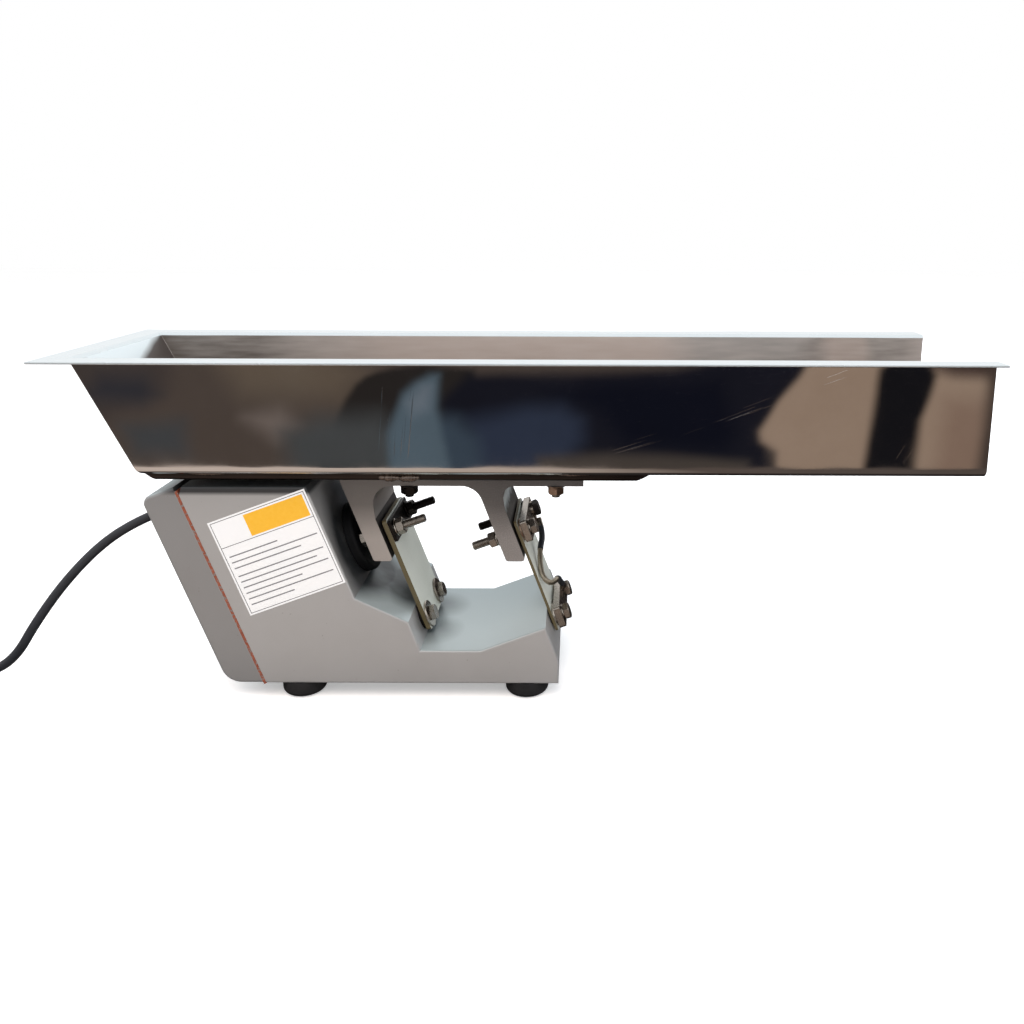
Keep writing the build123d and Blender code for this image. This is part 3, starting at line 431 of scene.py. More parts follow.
# ---- Sleeve and gland ---------------------------------------------------------------------------
# Nylon gland screwed into the rear cover, with a tapered rubber sleeve that keeps the lead from kinking.
gland_nylon = mottled("moulded nylon, satin black", ("#18191b", "#26272a"), (1500, 2), 0.4,
                      grain=(1500, 2, 0.2, 0.0002))
dressed("cable_gland", [gland_nylon], "base", 0.0003)
dressed("cord_sleeve", [rubber_jacket], "base", 0.0003)

# ---- Feet ---------------------------------------------------------------------------------------
# Four moulded rubber buffers, each held by a socket screw up into the housing.
foot_rubber = mottled("moulded rubber, dull black", ("#141416", "#2c2b2c"), (80, 5, 0.7), 0.62,
                      grain=(1100, 3, 0.35, 0.0003))
dressed("feet", [foot_rubber], "base")

# Black-oxide socket screws: dark, slightly oily steel.
black_steel = mottled("alloy steel, black oxide", ("#2a2826", "#45413d"), (500, 4), 0.38, 0.9)
dressed("foot_screws", [black_steel], "base", 0.0003)

# ---- Base housing and rear cover ----------------------------------------------------------------
# Aluminium castings, filled, rubbed down and sprayed with silver-grey enamel.
drive_rise, drive_run = cos(radians(20)), sin(radians(20))
forward, backward = (drive_rise, 0.0, drive_run), (-drive_rise, 0.0, -drive_run)
# Where the spring packs stand, in millimetres: their lower bolts, how far apart a pack's bolts are up its
# leaf, and how far they are from its middle.
rear_seat_x, front_seat_x, seat_height, bolt_span, bolt_y = -93.2, 22.8, 58, 86, 25


def on_spring(seat_x, stroke, up, y=0.0):
    """A point on a spring pack in metres, from millimetres along the stroke, up the leaf and across."""
    x = seat_x + stroke * drive_rise - up * drive_run
    return Vector((x, y, seat_height + stroke * drive_run + up * drive_rise)) / 1000


def split(place):
    """The X, Y and Z of a place."""
    return add(place.id_data, "ShaderNodeSeparateXYZ", {0: place}).outputs


def distance(place, spot):
    """How far a place is from a spot."""
    apart = add(place.id_data, "ShaderNodeVectorMath", {0: place, 1: spot}, operation="DISTANCE")
    return apart.outputs["Value"]


def level_along(place, axis):
    """How far a place lies along an axis."""
    reach = add(place.id_data, "ShaderNodeVectorMath", {0: place, 1: axis}, operation="DOT_PRODUCT")
    return reach.outputs["Value"]


silver_enamel, place = begin("cast aluminium, silver-grey enamel")
# Enamel over filler: soft clouds, a fine orange peel and a few faint specks, duller on the rear cover.
# What faces up is paler and bluish, partly dust and partly painted skylight. Painted shade darkens it
# round the rear bolts and the boot, and painted shadow blackens the housing's top under the trough.
x, y, z = split(place)
cloud = noise_at(place, 14, 5, 0.55)
gasket_low, gasket_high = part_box("cover_gasket")
seam = gasket_high[0] * drive_rise + gasket_low[2] * drive_run
dull = ramp(level_along(place, forward), seam - 0.001, seam - 0.003, 0, 0.5)
tone = mix(dull, mix(cloud, "#a8a7a6", "#b5b5b5"), "#6a6a6b")
fleck = ramp(noise_at(place, 300, 1), 0.76, 0.82, 0, 0.5)
worn = mix(fleck, tone, "#7d7873")
facing = place.node.outputs["Normal"]
# What faces up is painted paler and bluish: partly dust, partly painted skylight.
laid = ramp(level_along(facing, (0, 0, 1)), 0.5, 0.9)
dust_and_skylight = mix(laid, worn, "#adb9bb")
# Painted shade round the rear bolts, round the boot and by the rear leg's seat.
bolt_and_boot_shade = None
boot_low, boot_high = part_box("rubber_boot")
boot_middle = (Vector(boot_low) + Vector(boot_high)) / 2
for middle, far, near, deep in ((on_spring(rear_seat_x, 6, -4, -bolt_y), 0.034, 0.010, 0.65),
                                (on_spring(rear_seat_x, 6, -4, bolt_y), 0.034, 0.010, 0.65),
                                (boot_middle, 0.074, 0.050, 0.96),
                                (on_spring(rear_seat_x, -6, 22), 0.048, 0.026, 0.88)):
    stain = ramp(distance(place, middle), far, near, 0, deep)
    bolt_and_boot_shade = maths("MAXIMUM", bolt_and_boot_shade, stain) if bolt_and_boot_shade else stain
inside = ramp(maths("ABSOLUTE", y), 0.0655, 0.062)
patchy = ramp(noise_at(place, 32, 3), 0.3, 0.6, 0.8)
spread = maths("MULTIPLY", maths("MULTIPLY", bolt_and_boot_shade, inside), patchy)
# Painted shadow: the housing's top under the trough is painted near-black.
housing_top_shade = maths("MULTIPLY", ramp(z, 0.1840, 0.1875, 0, 0.92), ramp(x, -0.31, -0.285))
shaded_enamel = mix(maths("MAXIMUM", spread, housing_top_shade), dust_and_skylight, "#1f2226")
peel = maths("MULTIPLY_ADD", noise_at(place, 35, 2), 12.0, noise_at(place, 700, 2))
surface(silver_enamel, shaded_enamel, ramp(cloud, 0, 1, 0.26, 0.42), 0.3, peel, 0.14)
dressed("base_housing", [silver_enamel], "base", 0.0004)
dressed("rear_cover", [silver_enamel], "base", 0.0005)
dressed("cover_screws", [black_steel], "base", 0.0003)

# Orange-red gasket paper, squeezed a little proud along the slanting seam, with a ragged edge.
gasket, place = begin("gasket paper, oiled, red-brown")
oiled = mix(noise_at(place, 260, 4), "#6a3020", "#b5674c")
chipped = ramp(noise_at(place, 420, 2), 0.54, 0.6)
surface(gasket, mix(chipped, oiled, "#857a74"), 0.7)
dressed("cover_gasket", [gasket], "base")
seam_stroke, seam_foot, wall_y = -138.25, 5, 65.7
seam_up = (gasket_high[2] * 1000 - 10.9) / drive_rise
ridges, ridge_faces, steps = [], [], 150
for side in (-1, 1):
    start = len(ridges)
    for step in range(steps + 1):
        up = seam_foot + (seam_up - 6) * step / steps
        wide = 0.95 + 0.8 * noise.noise((step * 0.37, side * 7.3, 0.0))
        proud = 66.35 + 0.25 * noise.noise((step * 0.23, side * 3.1, 5.0))
        for across, out in ((-wide, wall_y), (-0.5 * wide, proud), (0.5 * wide, proud), (wide, wall_y)):
            ridges.append(on_spring(rear_seat_x, seam_stroke + across, up, side * out))
    for step in range(steps):
        a = start + 4 * step
        for k in range(3):
            ridge_faces.append((a + k, a + k + 4, a + k + 5, a + k + 1)[::side])
        ridge_faces.append((a + 3, a + 7, a + 4, a)[::side])
    ridge_faces.append((start, start + 1, start + 2, start + 3)[::side])
    ridge_faces.append(tuple(start + 4 * steps + k for k in (3, 2, 1, 0))[::side])
ridge = mesh_piece("gasket_edge", ridges, ridge_faces, gasket)
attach(ridge, "base")

# ---- Rating sticker -----------------------------------------------------------------------------
# White vinyl sticker, left plain: a thin dark frame, one amber field and grey rules, with no wording.
# It lies square to the spring packs on the near side of the housing.
sticker_inks = [mottled(name, tones, (grit, 3), (0.3, 0.45)) for name, tones, grit in (
    ("vinyl film, white, gloss", ("#f8fcff", "#ffffff"), 40),
    ("printing ink, dark grey", ("#2b2d33", "#3b3d44"), 500),
    ("printing ink, amber", ("#f9b81e", "#ffc63a"), 300),
    ("printing ink, mid grey", ("#77787c", "#919296"), 900),
)]
film, dark_ink, amber_ink, grey_ink = range(4)
sticker_size, sticker_turn = 88.4, radians(20.4)
sticker_corner = Vector((-0.2635, -0.06606, 0.1599))
across = Vector((cos(sticker_turn), 0, sin(sticker_turn)))
down = Vector((sin(sticker_turn), 0, -cos(sticker_turn)))
# Fields in millimetres: left, top, wide, tall and ink.
fields = [(0, 0, sticker_size, sticker_size, film),
          (1.6, 1.6, 85.2, 0.5, dark_ink), (1.6, 86.3, 85.2, 0.5, dark_ink),
          (1.6, 2.1, 0.5, 84.2, dark_ink), (86.3, 2.1, 0.5, 84.2, dark_ink),
          (31, 3.6, 53.5, 19.5, amber_ink), (2.1, 24.6, 84.2, 0.5, dark_ink)]
for k, wide in enumerate((44, 78, 61, 78, 70, 78, 52, 78, 40)):
    fields.append((5.2, 33.5 + 5.4 * k + (2.2 if k > 2 else 0), wide, 1.1, grey_ink))
spots, faces, inks = [], [], []
for left, top, wide, tall, ink in fields:
    base, thick = len(spots), 0.12 if ink == film else 0.15
    for out in (0.00005, 0.00005 + thick / 1000):
        for x, y in ((left, top), (left, top + tall), (left + wide, top + tall), (left + wide, top)):
            spots.append(sticker_corner + across * x / 1000 + down * y / 1000 - Vector((0, out, 0)))
    for quad in ((4, 5, 6, 7), (3, 2, 1, 0), (1, 5, 4, 0), (2, 6, 5, 1), (3, 7, 6, 2), (0, 4, 7, 3)):
        faces.append(tuple(base + q for q in quad))
        inks.append(ink)
sticker = mesh_piece("plain_sticker", spots, faces)
for ink in sticker_inks:
    sticker.data.materials.append(ink)
sticker.data.polygons.foreach_set("material_index", inks)
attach(sticker, "base")

# ---- Magnet drive -------------------------------------------------------------------------------
# Laminated core and taped coil on an aluminium carrier in the pot, armature on a stem from the rear leg.
def banded(name, tones, bands, rough, metal):
    """A material in bands of two tones."""
    finish, place = begin(name)
    scale, wobble, way = bands
    sizes = {"Vector": place, "Scale": scale, "Distortion": wobble}
    wave = add(place.id_data, "ShaderNodeTexWave", sizes, bands_direction=way)
    surface(finish, mix(wave, *tones), rough, metal)
    return finish


lamination = banded("silicon steel laminations, varnished", ("#3b3531", "#6f655c"), (320, 0.4, "Y"),
                    0.45, 0.8)
coil_tape = banded("cotton tape, varnished, amber", ("#8a6a3a", "#c9a565"), (60, 1.0, "DIAGONAL"), 0.5, 0.0)
bare_aluminium = mottled("aluminium plate, sawn and milled", ("#9a9a9a", "#b9b9b7"), (500, 4), 0.4, 1.0)
turned_steel = mottled("mild steel, turned and oiled", ("#6b655f", "#8c857d"), (700, 4), 0.35, 1.0)
for node, finish, body, slot in (
    ("magnet_core", lamination, "base", "core_steel"),
    ("armature", lamination, "tray", "core_steel"),
    ("magnet_coil", coil_tape, "base", "coil_tape"),
    ("magnet_carrier", bare_aluminium, "base", "carrier_aluminium"),
    ("armature_stem", turned_steel, "tray", "stem_steel"),
    ("terminal_block", gland_nylon, "base", "moulded_plastic"),
    ("carrier_screws", black_steel, "base", "fastener_steel"),
    ("core_screws", black_steel, "base", "fastener_steel"),
    ("armature_screw", black_steel, "tray", "fastener_steel"),
    ("terminal_screws", black_steel, "base", "fastener_steel"),
):
    dressed(node, [finish], body)

# ---- Boot ---------------------------------------------------------------------------------------
# Moulded rubber boot that closes the pot round the stem and lets it move.
boot_rubber = mottled("moulded neoprene, matt black", ("#08090b", "#131417"), (70, 4), 0.65,
                      grain=(900, 3, 0.3, 0.0003))
boot_rubber.node_tree.nodes["Principled BSDF"].inputs["Specular IOR Level"].default_value = 0.25
dressed("rubber_boot", [boot_rubber], "base", 0.0008)

# ---- Driven frame -------------------------------------------------------------------------------
# Aluminium casting, sand-cast and sprayed grey, with its two spring seats milled square to the stroke.
grey_casting, place = begin("sand-cast aluminium, grey enamel")
# A rough, slightly sparkling grey with small cast pits, paler towards the rear leg, with painted shade
# darkening it towards the trough, and a few knocks on the near face of each leg.
x, _, z = split(place)
cloud = noise_at(place, 30, 5, 0.6)
# Paler towards the rear leg, darker towards the front.
paler_to_rear = ramp(x, -0.02, -0.10)
tone = mix(cloud, mix(paler_to_rear, "#87827f", "#a8a19c"), mix(paler_to_rear, "#979290", "#bcb5af"))
salt = ramp(noise_at(place, 1100, 2), 0.45, 0.7, 0, 0.35)
# Painted shade, darker up towards the trough.
trough_shade_on_frame = ramp(z, 0.136, 0.168, 0, 0.6)
darker = mix(trough_shade_on_frame, mix(salt, tone, "#bab3ac"), "#2a2523")
dents = None
for dent_x, dent_z, size in (
    (-113.5, 171.6, 1.3), (-93.5, 132.5, 1.1), (-85.8, 131.8, 0.9), (-9.5, 163.0, 2.6),
    (-8.6, 158.8, 2.4), (-6.0, 168.4, 1.2), (-1.6, 149.8, 0.9), (-97.5, 141.0, 0.8),
):
    gap = distance(place, (dent_x / 1000, -0.035, dent_z / 1000))
    dent = ramp(gap, size / 1000, 0.6 * size / 1000)
    dents = maths("MAXIMUM", dents, dent) if dents else dent
sunk = maths("MULTIPLY_ADD", dents, -3.0, noise_at(place, 450, 4))
surface(grey_casting, mix(dents, darker, "#2c2826"), ramp(cloud, 0, 1, 0.36, 0.52), 0.35,
        sunk, 0.35, 0.0003)
# The milled seats are painted near-black as painted shade, with a near-white bluish painted highlight along
# their top.
seat_shade_and_highlight, place = begin("milled aluminium, painted shade and highlight")
film = noise_at(place, 160, 4)
shade_edge = maths("MULTIPLY_ADD", film, 0.012, split(place)[2])
lit_fillet = ramp(shade_edge, 0.166, 0.174)
surface(seat_shade_and_highlight, mix(lit_fillet, mix(film, "#17161a", "#3d3733"), "#c9d2d3"),
        ramp(film, 0, 1, 0.3, 0.55), 0.4)
dressed("driven_frame", [grey_casting, seat_shade_and_highlight], "tray", 0.0009,
        lambda p, n: int(n.dot(forward) > 0.97))

# ---- Spring packs: leaves -----------------------------------------------------------------------
# Glass-fibre leaves cut from sheet, pale on their faces, with darker sawn edges that show the resin.
def sawn_sheet(name, tones, grit):
    """Glass-fibre sheet: a fine weave under resin."""
    sheet, place = begin(name)
    weave = noise_at(place, grit, 3)
    part = maths("MULTIPLY", maths("ADD", weave, noise_at(place, 25, 3)), 0.5)
    surface(sheet, mix(part, *tones), 0.4, 0.0, weave, 0.15)
    return sheet


leaf_face = sawn_sheet("glass-fibre epoxy sheet, pale grey-green", ("#bec1b4", "#e0e2da"), 900)
leaf_edge = sawn_sheet("glass-fibre epoxy, sawn edge, olive-brown", ("#443c2a", "#786d4c"), 1400)
free_foot, free_length, bands = 4, 78, 24
for node, seat_x, stroke in (("rear_spring", rear_seat_x, 4.2), ("front_spring", front_seat_x, 2.75)):
    def ringed(work):
        """Cuts the leaf across in bands."""
        for step in range(1, bands):
            bmesh.ops.bisect_plane(work, geom=work.verts[:] + work.edges[:] + work.faces[:],
                                   plane_co=on_spring(seat_x, stroke, free_foot + step * free_length / bands),
                                   plane_no=(-drive_run, 0, drive_rise))

    leaf = placed(node + "_leaf", own_shape(node, node + "_leaf", [leaf_face, leaf_edge],
                                            lambda p, n: int(abs(n.dot(forward)) < 0.5), ringed))
    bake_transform(leaf)
    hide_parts(node)

# ---- Spring packs: bolts, nuts and washers ------------------------------------------------------
# M8 hexagon screws clamp each leaf between spacers and bars; large washers spread the load below.
def steel(name, dark, pale, low, high, grit=150):
    """Plated or oiled fastener steel, blotched, duller where it is dark."""
    return mottled(name, (dark, pale), (grit, 4), (high, low), 1.0)


zinc_steel = steel("steel, zinc-plated, dulled", "#8a827a", "#b4aca3", 0.2, 0.34)
dark_steel = steel("steel, phosphated and oiled", "#141316", "#3a3531", 0.25, 0.5)
bright_steel = steel("spring steel, zinc-plated, bright", "#a39a90", "#d0c9c0", 0.14, 0.28)
copper_zinc = steel("steel, yellow-passivated zinc, rusting", "#6e5848", "#ab9483", 0.22, 0.4, 300)


def sized_tree(name, sizes):
    """A node tree that makes one kind of part on every point it is given, with these sizes as its inputs."""
    tree = bpy.data.node_groups.new(name, "GeometryNodeTree")
    tree.is_modifier = True
    tree.interface.new_socket("Seats", in_out="INPUT", socket_type="NodeSocketGeometry")
    for label, value in sizes.items():
        kind = "Int" if isinstance(value, int) else "Vector" if isinstance(value, tuple) else "Float"
        socket = tree.interface.new_socket(label, in_out="INPUT", socket_type="NodeSocket" + kind)
        socket.default_value = value
    tree.interface.new_socket("Finish", in_out="INPUT", socket_type="NodeSocketMaterial")
    tree.interface.new_socket("Parts", in_out="OUTPUT", socket_type="NodeSocketGeometry")
    return tree, tree.nodes.new("NodeGroupInput").outputs


def end_tree(tree, given, part):
    """Makes a tree's parts real, gives them their finish and hands them out."""
    real = add(tree, "GeometryNodeRealizeInstances", {0: part})
    done = add(tree, "GeometryNodeSetMaterial", {"Geometry": real, "Material": given["Finish"]})
    tree.links.new(done.outputs[0], add(tree, "NodeGroupOutput").inputs[0])


def seat_parts(tree, given, body, spot, radius, z, weld_gap=0.0):
    """Gives a unit cylinder its radius and height and stands it on every seat along the axis, at a turn."""
    x, y = (maths("MULTIPLY", spot[k], radius) for k in (0, 1))
    moved = add(tree, "ShaderNodeCombineXYZ", {0: x, 1: y, 2: z})
    metres = add(tree, "ShaderNodeVectorMath", {0: moved, "Scale": 0.001}, operation="SCALE")
    part = add(tree, "GeometryNodeSetPosition", {"Geometry": body.outputs["Mesh"], "Position": metres})
    if weld_gap:
        part = add(tree, "GeometryNodeMergeByDistance", {"Geometry": part, "Distance": weld_gap})
    upright = add(tree, "FunctionNodeAlignRotationToVector", {"Vector": given["Axis"]}, axis="Z")
    spin = add(tree, "FunctionNodeRandomValue", {"Max": 6.283, "Seed": given["Seed"]}, data_type="FLOAT")
    turn = add(tree, "ShaderNodeCombineXYZ", {"Z": next(s for s in spin.outputs if s.type == "VALUE")})
    whirl = add(tree, "FunctionNodeEulerToRotation", {0: turn})
    facing = add(tree, "FunctionNodeRotateRotation", {0: upright, 1: whirl}, rotation_space="LOCAL")
    stood = {"Points": given["Seats"], "Instance": part, "Rotation": facing}
    end_tree(tree, given, add(tree, "GeometryNodeInstanceOnPoints", stood))


def cylinder(tree, around, along):
    """A unit cylinder, the place of each of its points, and how far up it each is, from 0 to 1."""
    shape = {"Vertices": around, "Side Segments": along, "Radius": 1.0, "Depth": 1.0}
    spot = split(add(tree, "GeometryNodeInputPosition"))
    return add(tree, "GeometryNodeMeshCylinder", shape), spot, maths("ADD", spot[2], 0.5)


chamfer = 0.577


def turned_tree(name, rings):
    """Parts turned or forged on an axis.

    Each ring says: hole or rim, how far it breaks in, top or foot, how far it breaks up, and its corner."""
    tree, given = sized_tree(name, {"Rim": 6.5, "Hole": 4.2, "Height": 6.5, "Start": 0.0, "Edge": 0.35,
                                    "Rise": 0.0, "Axis": (0.0, 0.0, 1.0), "Seed": 1})
    body, spot, up = cylinder(tree, 48, len(rings) - 1)
    body.fill_type = "NONE"
    ring = maths("ROUND", maths("MULTIPLY", up, float(len(rings) - 1)))
    columns = []
    for column in zip(*rings):
        pick = add(tree, "GeometryNodeIndexSwitch", data_type="FLOAT")
        while len(pick.index_switch_items) < len(rings):
            pick.index_switch_items.new()
        tree.links.new(ring, pick.inputs[0])
        for k, value in enumerate(column):
            pick.inputs[k + 1].default_value = value
        columns.append(pick.outputs[0])
    hole, inward, top, upward, corner = columns
    angle = maths("ARCTAN2", spot[1], spot[0])
    bored = maths("MULTIPLY_ADD", hole, maths("SUBTRACT", given["Hole"], given["Rim"]), given["Rim"])
    plain = maths("SUBTRACT", bored, maths("MULTIPLY", inward, given["Edge"]))
    flat = maths("SUBTRACT", maths("FLOORED_MODULO", angle, pi / 3), pi / 6)
    stretch = maths("DIVIDE", 1.0, maths("COSINE", flat))
    peak = maths("MULTIPLY", given["Rim"], maths("SUBTRACT", stretch, 1.0))
    radius = maths("MULTIPLY_ADD", maths("ABSOLUTE", corner), peak, plain)
    slope = maths("MULTIPLY", maths("MULTIPLY", corner, chamfer), maths("ADD", peak, given["Edge"]))
    broken = maths("MULTIPLY_ADD", upward, given["Edge"], slope)
    level = maths("MULTIPLY_ADD", top, given["Height"], broken)
    wound = maths("MULTIPLY_ADD", maths("DIVIDE", angle, 2 * pi), given["Rise"], level)
    seat_parts(tree, given, body, spot, radius, maths("ADD", wound, given["Start"]), 0.00001)
    return tree


nut_tree = turned_tree("hexagon nut", [
    (1, 0, 0, 2, 0), (1, -2, 0, 0, 0), (0, 1, 0, 0, 0), (0, 0, 0, 0, 1), (0, 0, 1, 0, -1), (0, 1, 1, 0, 0),
    (1, -2, 1, 0, 0), (1, 0, 1, -2, 0), (1, 0, 0, 2, 0)])
head_tree = turned_tree("hexagon head", [
    (1, 0, 0, 0, 0), (0, 1, 0, 0, 0), (0, 0, 0, 0, 1), (0, 0, 1, 0, -1), (0, 1, 1, 0, 0), (0, 2, 1, 0, 0),
    (0, 4, 1, -0.4, 0), (1, 0, 1, -0.4, 0)])
washer_tree = turned_tree("flat washer", [
    (1, 0, 0, 1, 0), (1, -1, 0, 0, 0), (0, 1, 0, 0, 0), (0, 0, 0, 1, 0), (0, 0, 1, -1, 0), (0, 1, 1, 0, 0),
    (1, -1, 1, 0, 0), (1, 0, 1, -1, 0), (1, 0, 0, 1, 0)])

# The screw thread: six rings a turn of thread, pitch 1.25 mm, with a bevelled tip.
thread_tree, given = sized_tree("screw thread", {"Radius": 4.0, "Pitch": 1.25, "Depth": 0.62, "Start": 0.0,
                                                 "Length": 30.0, "Axis": (0.0, 0.0, 1.0), "Seed": 1})
tree = thread_tree
rings_a_turn, tip_share = 6.0, 0.76
rows = maths("CEIL", maths("DIVIDE", given["Length"], maths("DIVIDE", given["Pitch"], rings_a_turn)))
body, spot, up = cylinder(tree, 24, rows)
along = maths("MULTIPLY", up, given["Length"])
turn = maths("DIVIDE", maths("ARCTAN2", spot[1], spot[0]), 2 * pi)
turns_up = maths("DIVIDE", along, given["Pitch"])
flank = maths("PINGPONG", maths("SUBTRACT", turns_up, turn), 0.5)
sunk = maths("MULTIPLY", maths("MULTIPLY", flank, 2.0), given["Depth"])
thread = maths("SUBTRACT", given["Radius"], sunk)
near_end = maths("MINIMUM", along, maths("SUBTRACT", given["Length"], along))
tip = maths("MULTIPLY_ADD", near_end, 1.1, maths("MULTIPLY", given["Radius"], tip_share))
radius = maths("MINIMUM", thread, tip)
seat_parts(tree, given, body, spot, radius, maths("ADD", along, given["Start"]))


def grown(holder, tree, sizes):
    """The mesh that a node tree makes on an object, which is then removed."""
    modifier = holder.modifiers.new("parts", "NODES")
    modifier.node_group = tree
    labels = {item.name: item.identifier for item in tree.interface.items_tree if item.in_out == "INPUT"}
    for label, value in sizes.items():
        modifier[labels[label]] = value
    mesh = bpy.data.meshes.new_from_object(holder.evaluated_get(bpy.context.evaluated_depsgraph_get()))
    bpy.data.objects.remove(holder)
    return mesh


def made_of(node, spots, parts, body, finishes, pick=None):
    """Fasteners as one piece: each part is a tree and its sizes, on the same seats."""
    work = bmesh.new()
    for tree, sizes in parts:
        mesh = grown(mesh_piece(node + "_piece", spots, []), tree, {"Finish": finishes[0], **sizes})
        work.from_mesh(mesh)
    bmesh.ops.recalc_face_normals(work, faces=work.faces)
    mesh.clear_geometry()
    write_back(work, mesh, finishes, pick)
    piece = placed(node + "_piece", mesh)
    finish_edges(piece, 0.0002)
    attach(piece, body)
    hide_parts(node)


seats = {(end, level): [on_spring(x, 0, up, y) for y in (-bolt_y, bolt_y)]
         for end, x in (("rear", rear_seat_x), ("front", front_seat_x))
         for level, up in (("upper", bolt_span), ("lower", 0))}
head_height, nut_height, flat_radius = 5.3, 6.5, 6.5


def far_side(p, n):
    """1 for the bolt on the far side of the pack, 0 for the near one."""
    return int(p.y > 0)


def washer(rim, height, start, axis=forward, **more):
    """A washer or spacer this wide and high, starting this far from its seat."""
    return washer_tree, {"Rim": rim, "Height": height, "Start": start, "Axis": axis, **more}


def nut(start, axis=forward):
    """A hexagon nut, starting this far from its seat."""
    return nut_tree, {"Rim": flat_radius, "Height": nut_height, "Start": start, "Axis": axis}


def bolt(head, seed, start, length, axis=forward):
    """A hexagon head and its thread, each starting that far from their seat."""
    return [(head_tree, {"Rim": flat_radius, "Height": head_height, "Start": head, "Axis": axis, "Hole": 0.0,
                         "Seed": seed}),
            (thread_tree, {"Start": start, "Length": length, "Axis": forward, "Seed": 2})]


# Each row: the solid that it stands for, what it is made of, and the near and the far finish. The far
# finish is mostly painted shade, and on the front lower bolts a painted highlight.
for node, parts, *finishes in (
    ("rear_upper_spacers", [washer(8, 2.2, 0)], dark_steel),
    ("rear_upper_washers", [washer(8, 1.6, 9.2)], bright_steel, dark_steel),
    ("rear_upper_nuts", [nut(10.8)], zinc_steel, dark_steel),
    ("rear_upper_bolts", bolt(18, 3, -18.0, 55.0, backward), zinc_steel, dark_steel),
    ("rear_head_washers", [washer(8, 1.4, 16.3, backward, Rise=0.6)], bright_steel),
    ("rear_lower_spacers", [washer(12, 2.2, 0)], dark_steel),
    ("rear_lower_washers", [washer(12, 2.0, 6.2)], bright_steel, zinc_steel),
    ("rear_lower_bolts", bolt(8.2, 5, -22.0, 30.2), zinc_steel),
    ("front_upper_spacers", [washer(8, 1.5, 0, Edge=0.25)], dark_steel),
    ("front_upper_washers", [washer(10, 2.0, 4)], copper_zinc, dark_steel),
    ("front_upper_head_washer", [washer(7, 1.2, 12, Edge=0.25)], bright_steel),
    ("front_upper_bolts", bolt(13.2, 4, -41.8, 55.0), zinc_steel, dark_steel),
    ("front_nut_washers", [washer(8, 1.6, 16, backward)], copper_zinc, dark_steel),
    ("front_lock_washers", [washer(7, 1.4, 17.9, backward, Rise=0.6)], bright_steel, dark_steel),
    ("front_upper_nuts", [nut(19.6, backward)], zinc_steel, dark_steel),
    ("front_lower_spacers", [washer(8, 1.5, 0, Edge=0.25)], dark_steel),
    ("front_lower_washers", [washer(10, 2.0, 4)], bright_steel),
    ("front_lower_head_washer", [washer(7, 1.2, 12, Edge=0.25)], bright_steel),
    ("front_lower_bolts", bolt(13.2, 6, -22.0, 35.2), zinc_steel, bright_steel),
):
    end, level = node.split("_")[0], "lower" if "lower" in node else "upper"
    spots = seats[end, level][:1] if node.endswith("head_washer") else seats[end, level]
    # The far finish is painted shade, on the front lower bolts a painted highlight.
    body, pick = "base" if level == "lower" else "tray", far_side if finishes[1:] else None
    made_of(node, spots, parts, body, finishes, pick)
for node, body, finish in (
    ("rear_clamp_plate", "tray", dark_steel), ("front_upper_clamp_bar", "tray", zinc_steel),
    ("front_lower_clamp_bar", "base", zinc_steel), ("upper_earth_lug", "tray", bright_steel),
    ("lower_earth_lug", "base", bright_steel),
):
    dressed(node, [finish], body, 0.0004)

# ---- Frame studs --------------------------------------------------------------------------------
# Studs welded under the trough's pan pass through the frame's plate, with a washer and nut below it.
stud_spots = [Vector((x, y, 0)) / 1000 for x in (-99.2, 28) for y in (-34, 34)]
down = (0.0, 0.0, -1.0)
stud_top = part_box("frame_studs")[1][2] * 1000


def front_stud(p, n):
    """1 for the front studs."""
    return int(p.x > 0)


thread_length = stud_top - 173.9
for node, parts, finishes in (
    ("frame_washers", [washer(8, 1.6, -185, down)], [dark_steel, copper_zinc]),
    ("frame_nuts", [nut(-183.4, down)], [dark_steel, copper_zinc]),
    ("frame_studs", [(thread_tree, {"Start": -stud_top, "Length": thread_length, "Axis": down})],
     [dark_steel, zinc_steel]),
):
    made_of(node, stud_spots, parts, "tray", finishes, front_stud)

# ---- Earth lead ---------------------------------------------------------------------------------
# Tinned copper strands across the front spring, slack enough to flex with it, sleeved at both ends.
def lug_point(up, turn, reach):
    """A point on a ring lug's barrel, that far from the far front bolt and turned about it."""
    turn = radians(turn)
    return on_spring(front_seat_x, 14.8, up - reach * cos(turn), bolt_y + reach * sin(turn))


tinned_copper = steel("copper strands, tinned", "#6b5f4c", "#d8cdba", 0.2, 0.45, 1600)
earth_points = [lug_point(bolt_span, -35, 17), lug_point(bolt_span, -35, 27)] + [Vector(p) / 1000 for p in (
    (12.8, -2.0, 114.5), (12.9, -14.0, 106.5), (14.8, -23.5, 99.0), (18.2, -28.0, 94.2), (23.2, -27.0, 90.6),
    (27.0, -19.0, 89.5), (29.4, -9.0, 88.5))] + [lug_point(0, -130, 27), lug_point(0, -130, 17)]
earth_line = smooth_line("earth_line", earth_points)
lead_tree, given = sized_tree("stranded lead", {"Strands": 9, "Lay": 0.0016, "Wire": 0.0008, "Turns": 6.0,
                                                "From": 0.0, "To": 1.0})
tree = lead_tree
short = add(tree, "GeometryNodeTrimCurve", {0: given["Seats"]}, mode="FACTOR")
tree.links.new(given["From"], short.inputs[2])
tree.links.new(given["To"], short.inputs[3])
fine = add(tree, "GeometryNodeResampleCurve", {"Curve": short, "Count": 150})
many = add(tree, "GeometryNodeDuplicateElements", {0: fine, "Amount": given["Strands"]}, domain="SPLINE")
share = maths("DIVIDE", many.outputs[1], given["Strands"])
along = add(tree, "GeometryNodeSplineParameter").outputs[0]
angle = maths("MULTIPLY", 2 * pi, maths("MULTIPLY_ADD", along, given["Turns"], share))
